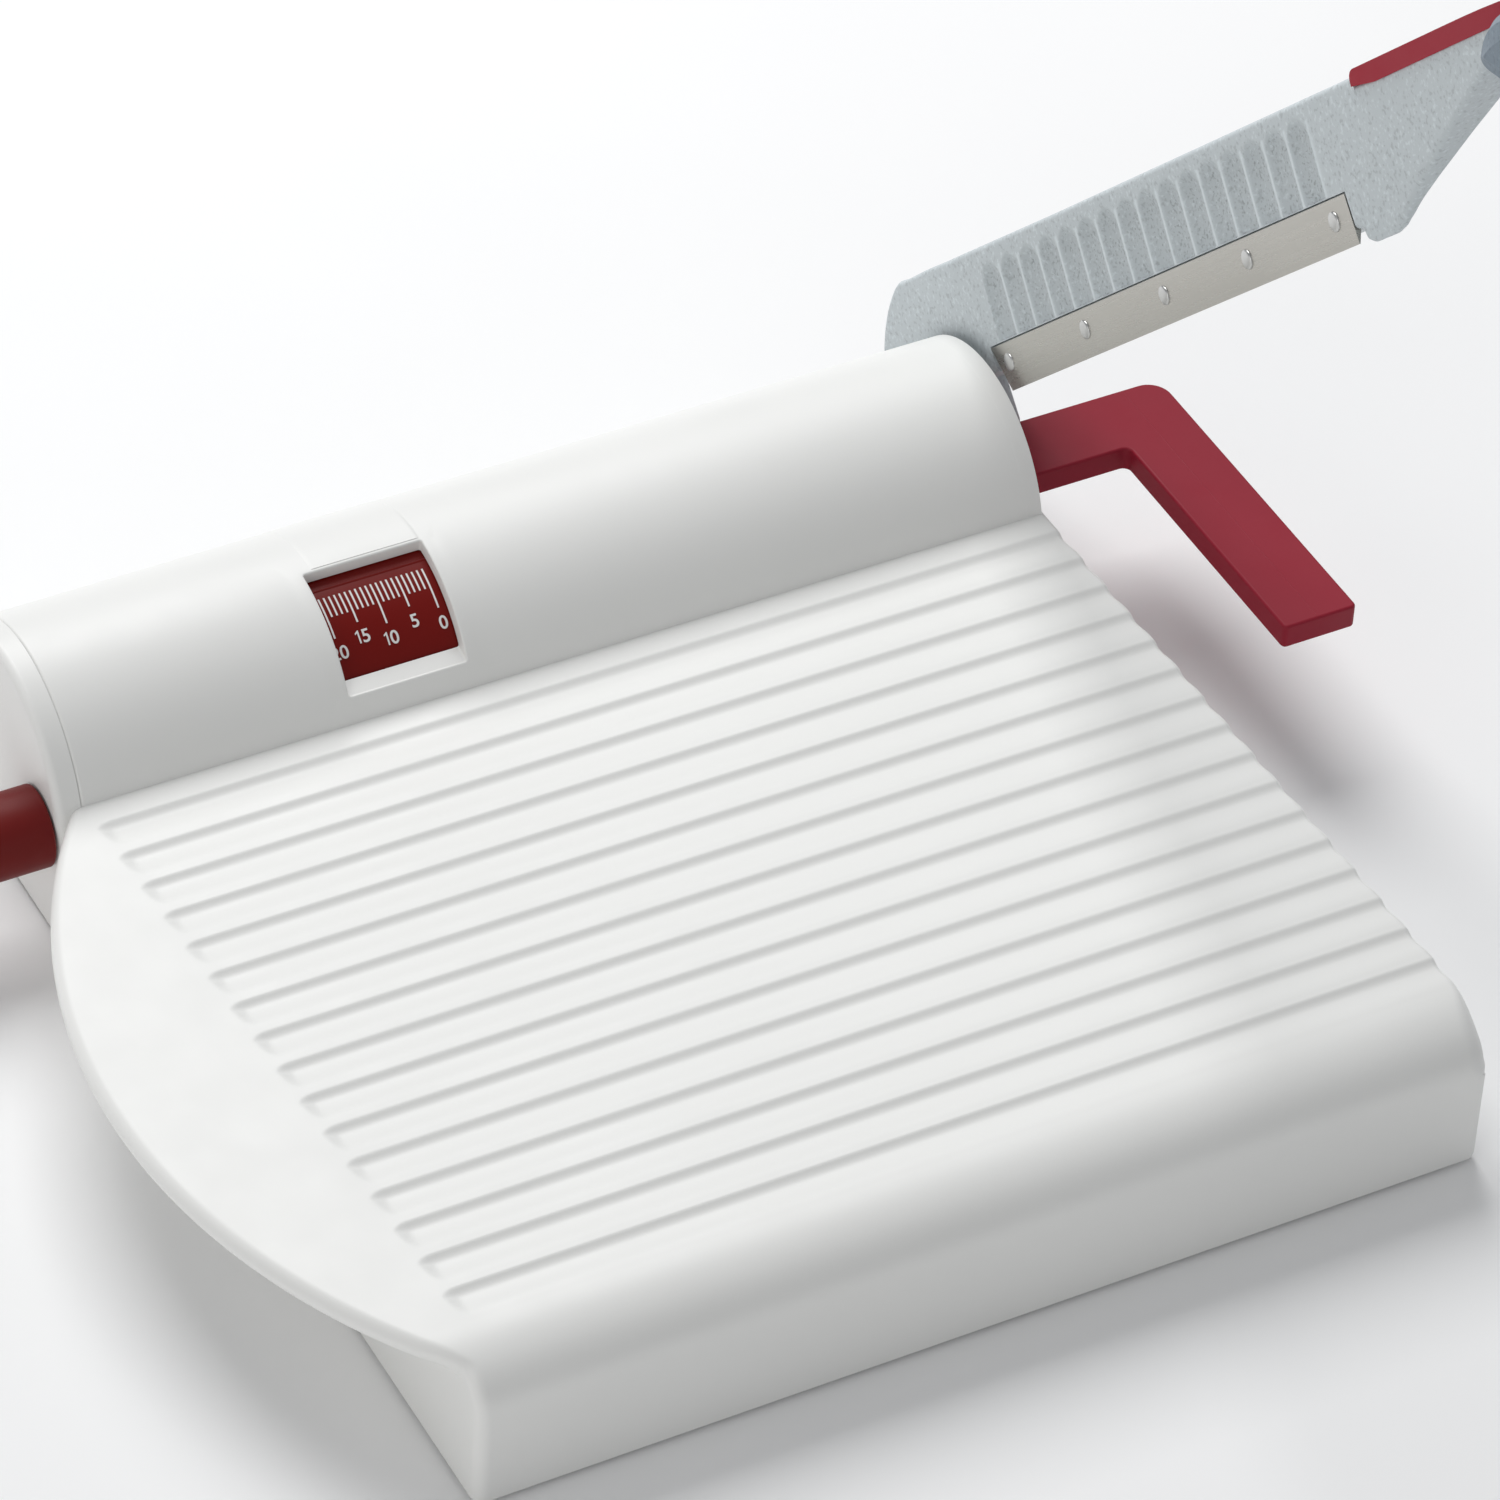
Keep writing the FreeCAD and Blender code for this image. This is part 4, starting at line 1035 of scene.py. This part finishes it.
stop_low, stop_high = node_box("stop_bar")
line_points, line_faces = witness_mesh(stop_high[0] - 8.1, stop_low[1] + 0.7, stop_high[1] - 0.9,
                                       stop_high[2] - 0.01)
witness = add_piece("stop_witness_line", line_points, line_faces, "slice_stop", crimson)

# %% [markdown]
# ## The scale's upper lip
#
# A thin raised bead along the scale band's upper edge stiffens it. It is a round bead
# carried straight along the band.

# %% Add the lip
def bead_mesh(angle, radius=0.38):
    """A circle of points carried along X at an angle round the scale."""
    low, high = node_box("scale_carriage")
    turn = np.linspace(0.0, 2 * np.pi, 17)
    arm_length = SHELL_INNER - 0.55
    y = HOUSING_Y - arm_length * math.cos(math.radians(angle)) + radius * np.cos(turn)
    z = HOUSING_Z + arm_length * math.sin(math.radians(angle)) + radius * np.sin(turn)
    x = np.linspace(low[0] + 0.2, high[0] - 0.2, 8)
    grid = np.stack([np.repeat(x[:, None], 17, 1), np.broadcast_to(y, (8, 17)),
                     np.broadcast_to(z, (8, 17))], -1)
    grid[:, -1] = grid[:, 0]
    return merge_grids([grid], [grid[0, :-1], grid[-1, :-1]])


SHELL_INNER = HOUSING_RADIUS - SHELL_WALL
lip_points, lip_faces = bead_mesh(77.5)
# The lip is in the scale's darkened red, painted shade.
lip = add_piece("scale_upper_lip", lip_points, lip_faces, "slice_stop", scale_crimson_painted_shade)

# %% [markdown]
# ## The numbers on the scale
#
# The scale counts the slice's thickness in millimetres. Each number is made as text and
# turned into a mesh, but its one is drawn, and its points are rolled onto the scale.

# %% Print the numbers
marks_low, marks_high = node_box("scale_marks")
SCALE_ROLL = 22.38
ZERO_X = marks_high[0] - 0.16


def bend_letters(flat, middle_x, angle):
    """A point's height becomes an angle round the scale: angle is height over the scale's radius."""
    turn = math.radians(angle) + flat[:, 1] / SCALE_ROLL
    return np.stack([middle_x + flat[:, 0], HOUSING_Y - SCALE_ROLL * np.cos(turn),
                     HOUSING_Z + SCALE_ROLL * np.sin(turn)], 1)


def letter_shapes(text, tall):
    """Flat points and faces of a bold number; its one is drawn, with a plain foot and a flag."""
    rest = text[1:] if text.startswith("1") else text
    curve = bpy.data.curves.new("number_" + text, "FONT")
    curve.body = rest
    curve.size = tall / 0.70
    curve.offset = 0.02 * tall
    curve.resolution_u = 5
    holder = bpy.data.objects.new("number_holder", curve)
    mesh = bpy.data.meshes.new_from_object(holder)
    bpy.data.objects.remove(holder)
    flat = np.zeros(len(mesh.vertices) * 3)
    mesh.vertices.foreach_get("co", flat)
    flat = flat.reshape(-1, 3)[:, :2]
    faces = [list(p.vertices) for p in mesh.polygons]
    if rest != text:
        one = np.array([[0.20, 0.0], [0.33, 0.0], [0.33, 1.0], [0.25, 1.0], [0.03, 0.84], [0.03, 0.71],
                        [0.20, 0.80]]) * tall
        flat[:, 0] += 0.46 * tall
        faces += [[len(flat) + i for i in face] for face in ((0, 1, 2, 6), (2, 3, 4, 5, 6))]
        flat = np.vstack([flat, one])
    flat[:, 0] -= (flat[:, 0].min() + flat[:, 0].max()) / 2
    return flat, faces


def add_number(value, angle, tall=2.35):
    """One number under its tick, as thin ink with a little thickness."""
    flat, faces = letter_shapes(str(value), tall)
    mesh = bpy.data.meshes.new("scale_number_%02d" % value)
    mesh.from_pydata((bend_letters(flat, ZERO_X - value, angle) * MM).tolist(), [], faces)
    mesh.materials.append(print_ink)
    piece = bpy.data.objects.new("scale_number_%02d" % value, mesh)
    bpy.context.scene.collection.objects.link(piece)
    ink = piece.modifiers.new("ink", "SOLIDIFY")
    ink.thickness = 0.05 * MM
    ink.offset = 0.0
    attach(piece, "slice_stop")
    return piece


for value, angle in ((0, 43.2), (5, 47.6), (10, 43.2), (15, 47.6), (20, 43.2)):
    add_number(value, angle)

# %% [markdown]
# ## The floor
#
# The slicer stands on four rubber feet, one millimetre proud of its underside, so the
# floor lies at the lowest point of the frame.

# %% Lay the floor
def make_floor(half, height):
    """One large square, a pale matt sheet with a very faint unevenness."""
    material = plastic("pale_paper", (0.95, 0.95, 0.95, 1.0), 0.9, 0.004, 300.0, 0.05, 0.1, 0.0)
    mesh = bpy.data.meshes.new("floor")
    corners = [(-half, -half, height), (half, -half, height), (half, half, height), (-half, half, height)]
    mesh.from_pydata(corners, [], [(0, 1, 2, 3)])
    mesh.materials.append(material)
    floor = bpy.data.objects.new("floor", mesh)
    bpy.context.scene.collection.objects.link(floor)
    return floor


floor = make_floor(6.0, cad_box[0][2])
print("floor at", round(cad_box[0][2], 4))

# %% Print the sizes and finish
def plain(corner_pair):
    """Two corners as plain lists."""
    return [[float(v) for v in corner] for corner in corner_pair]


print("cad box", plain(cad_box))
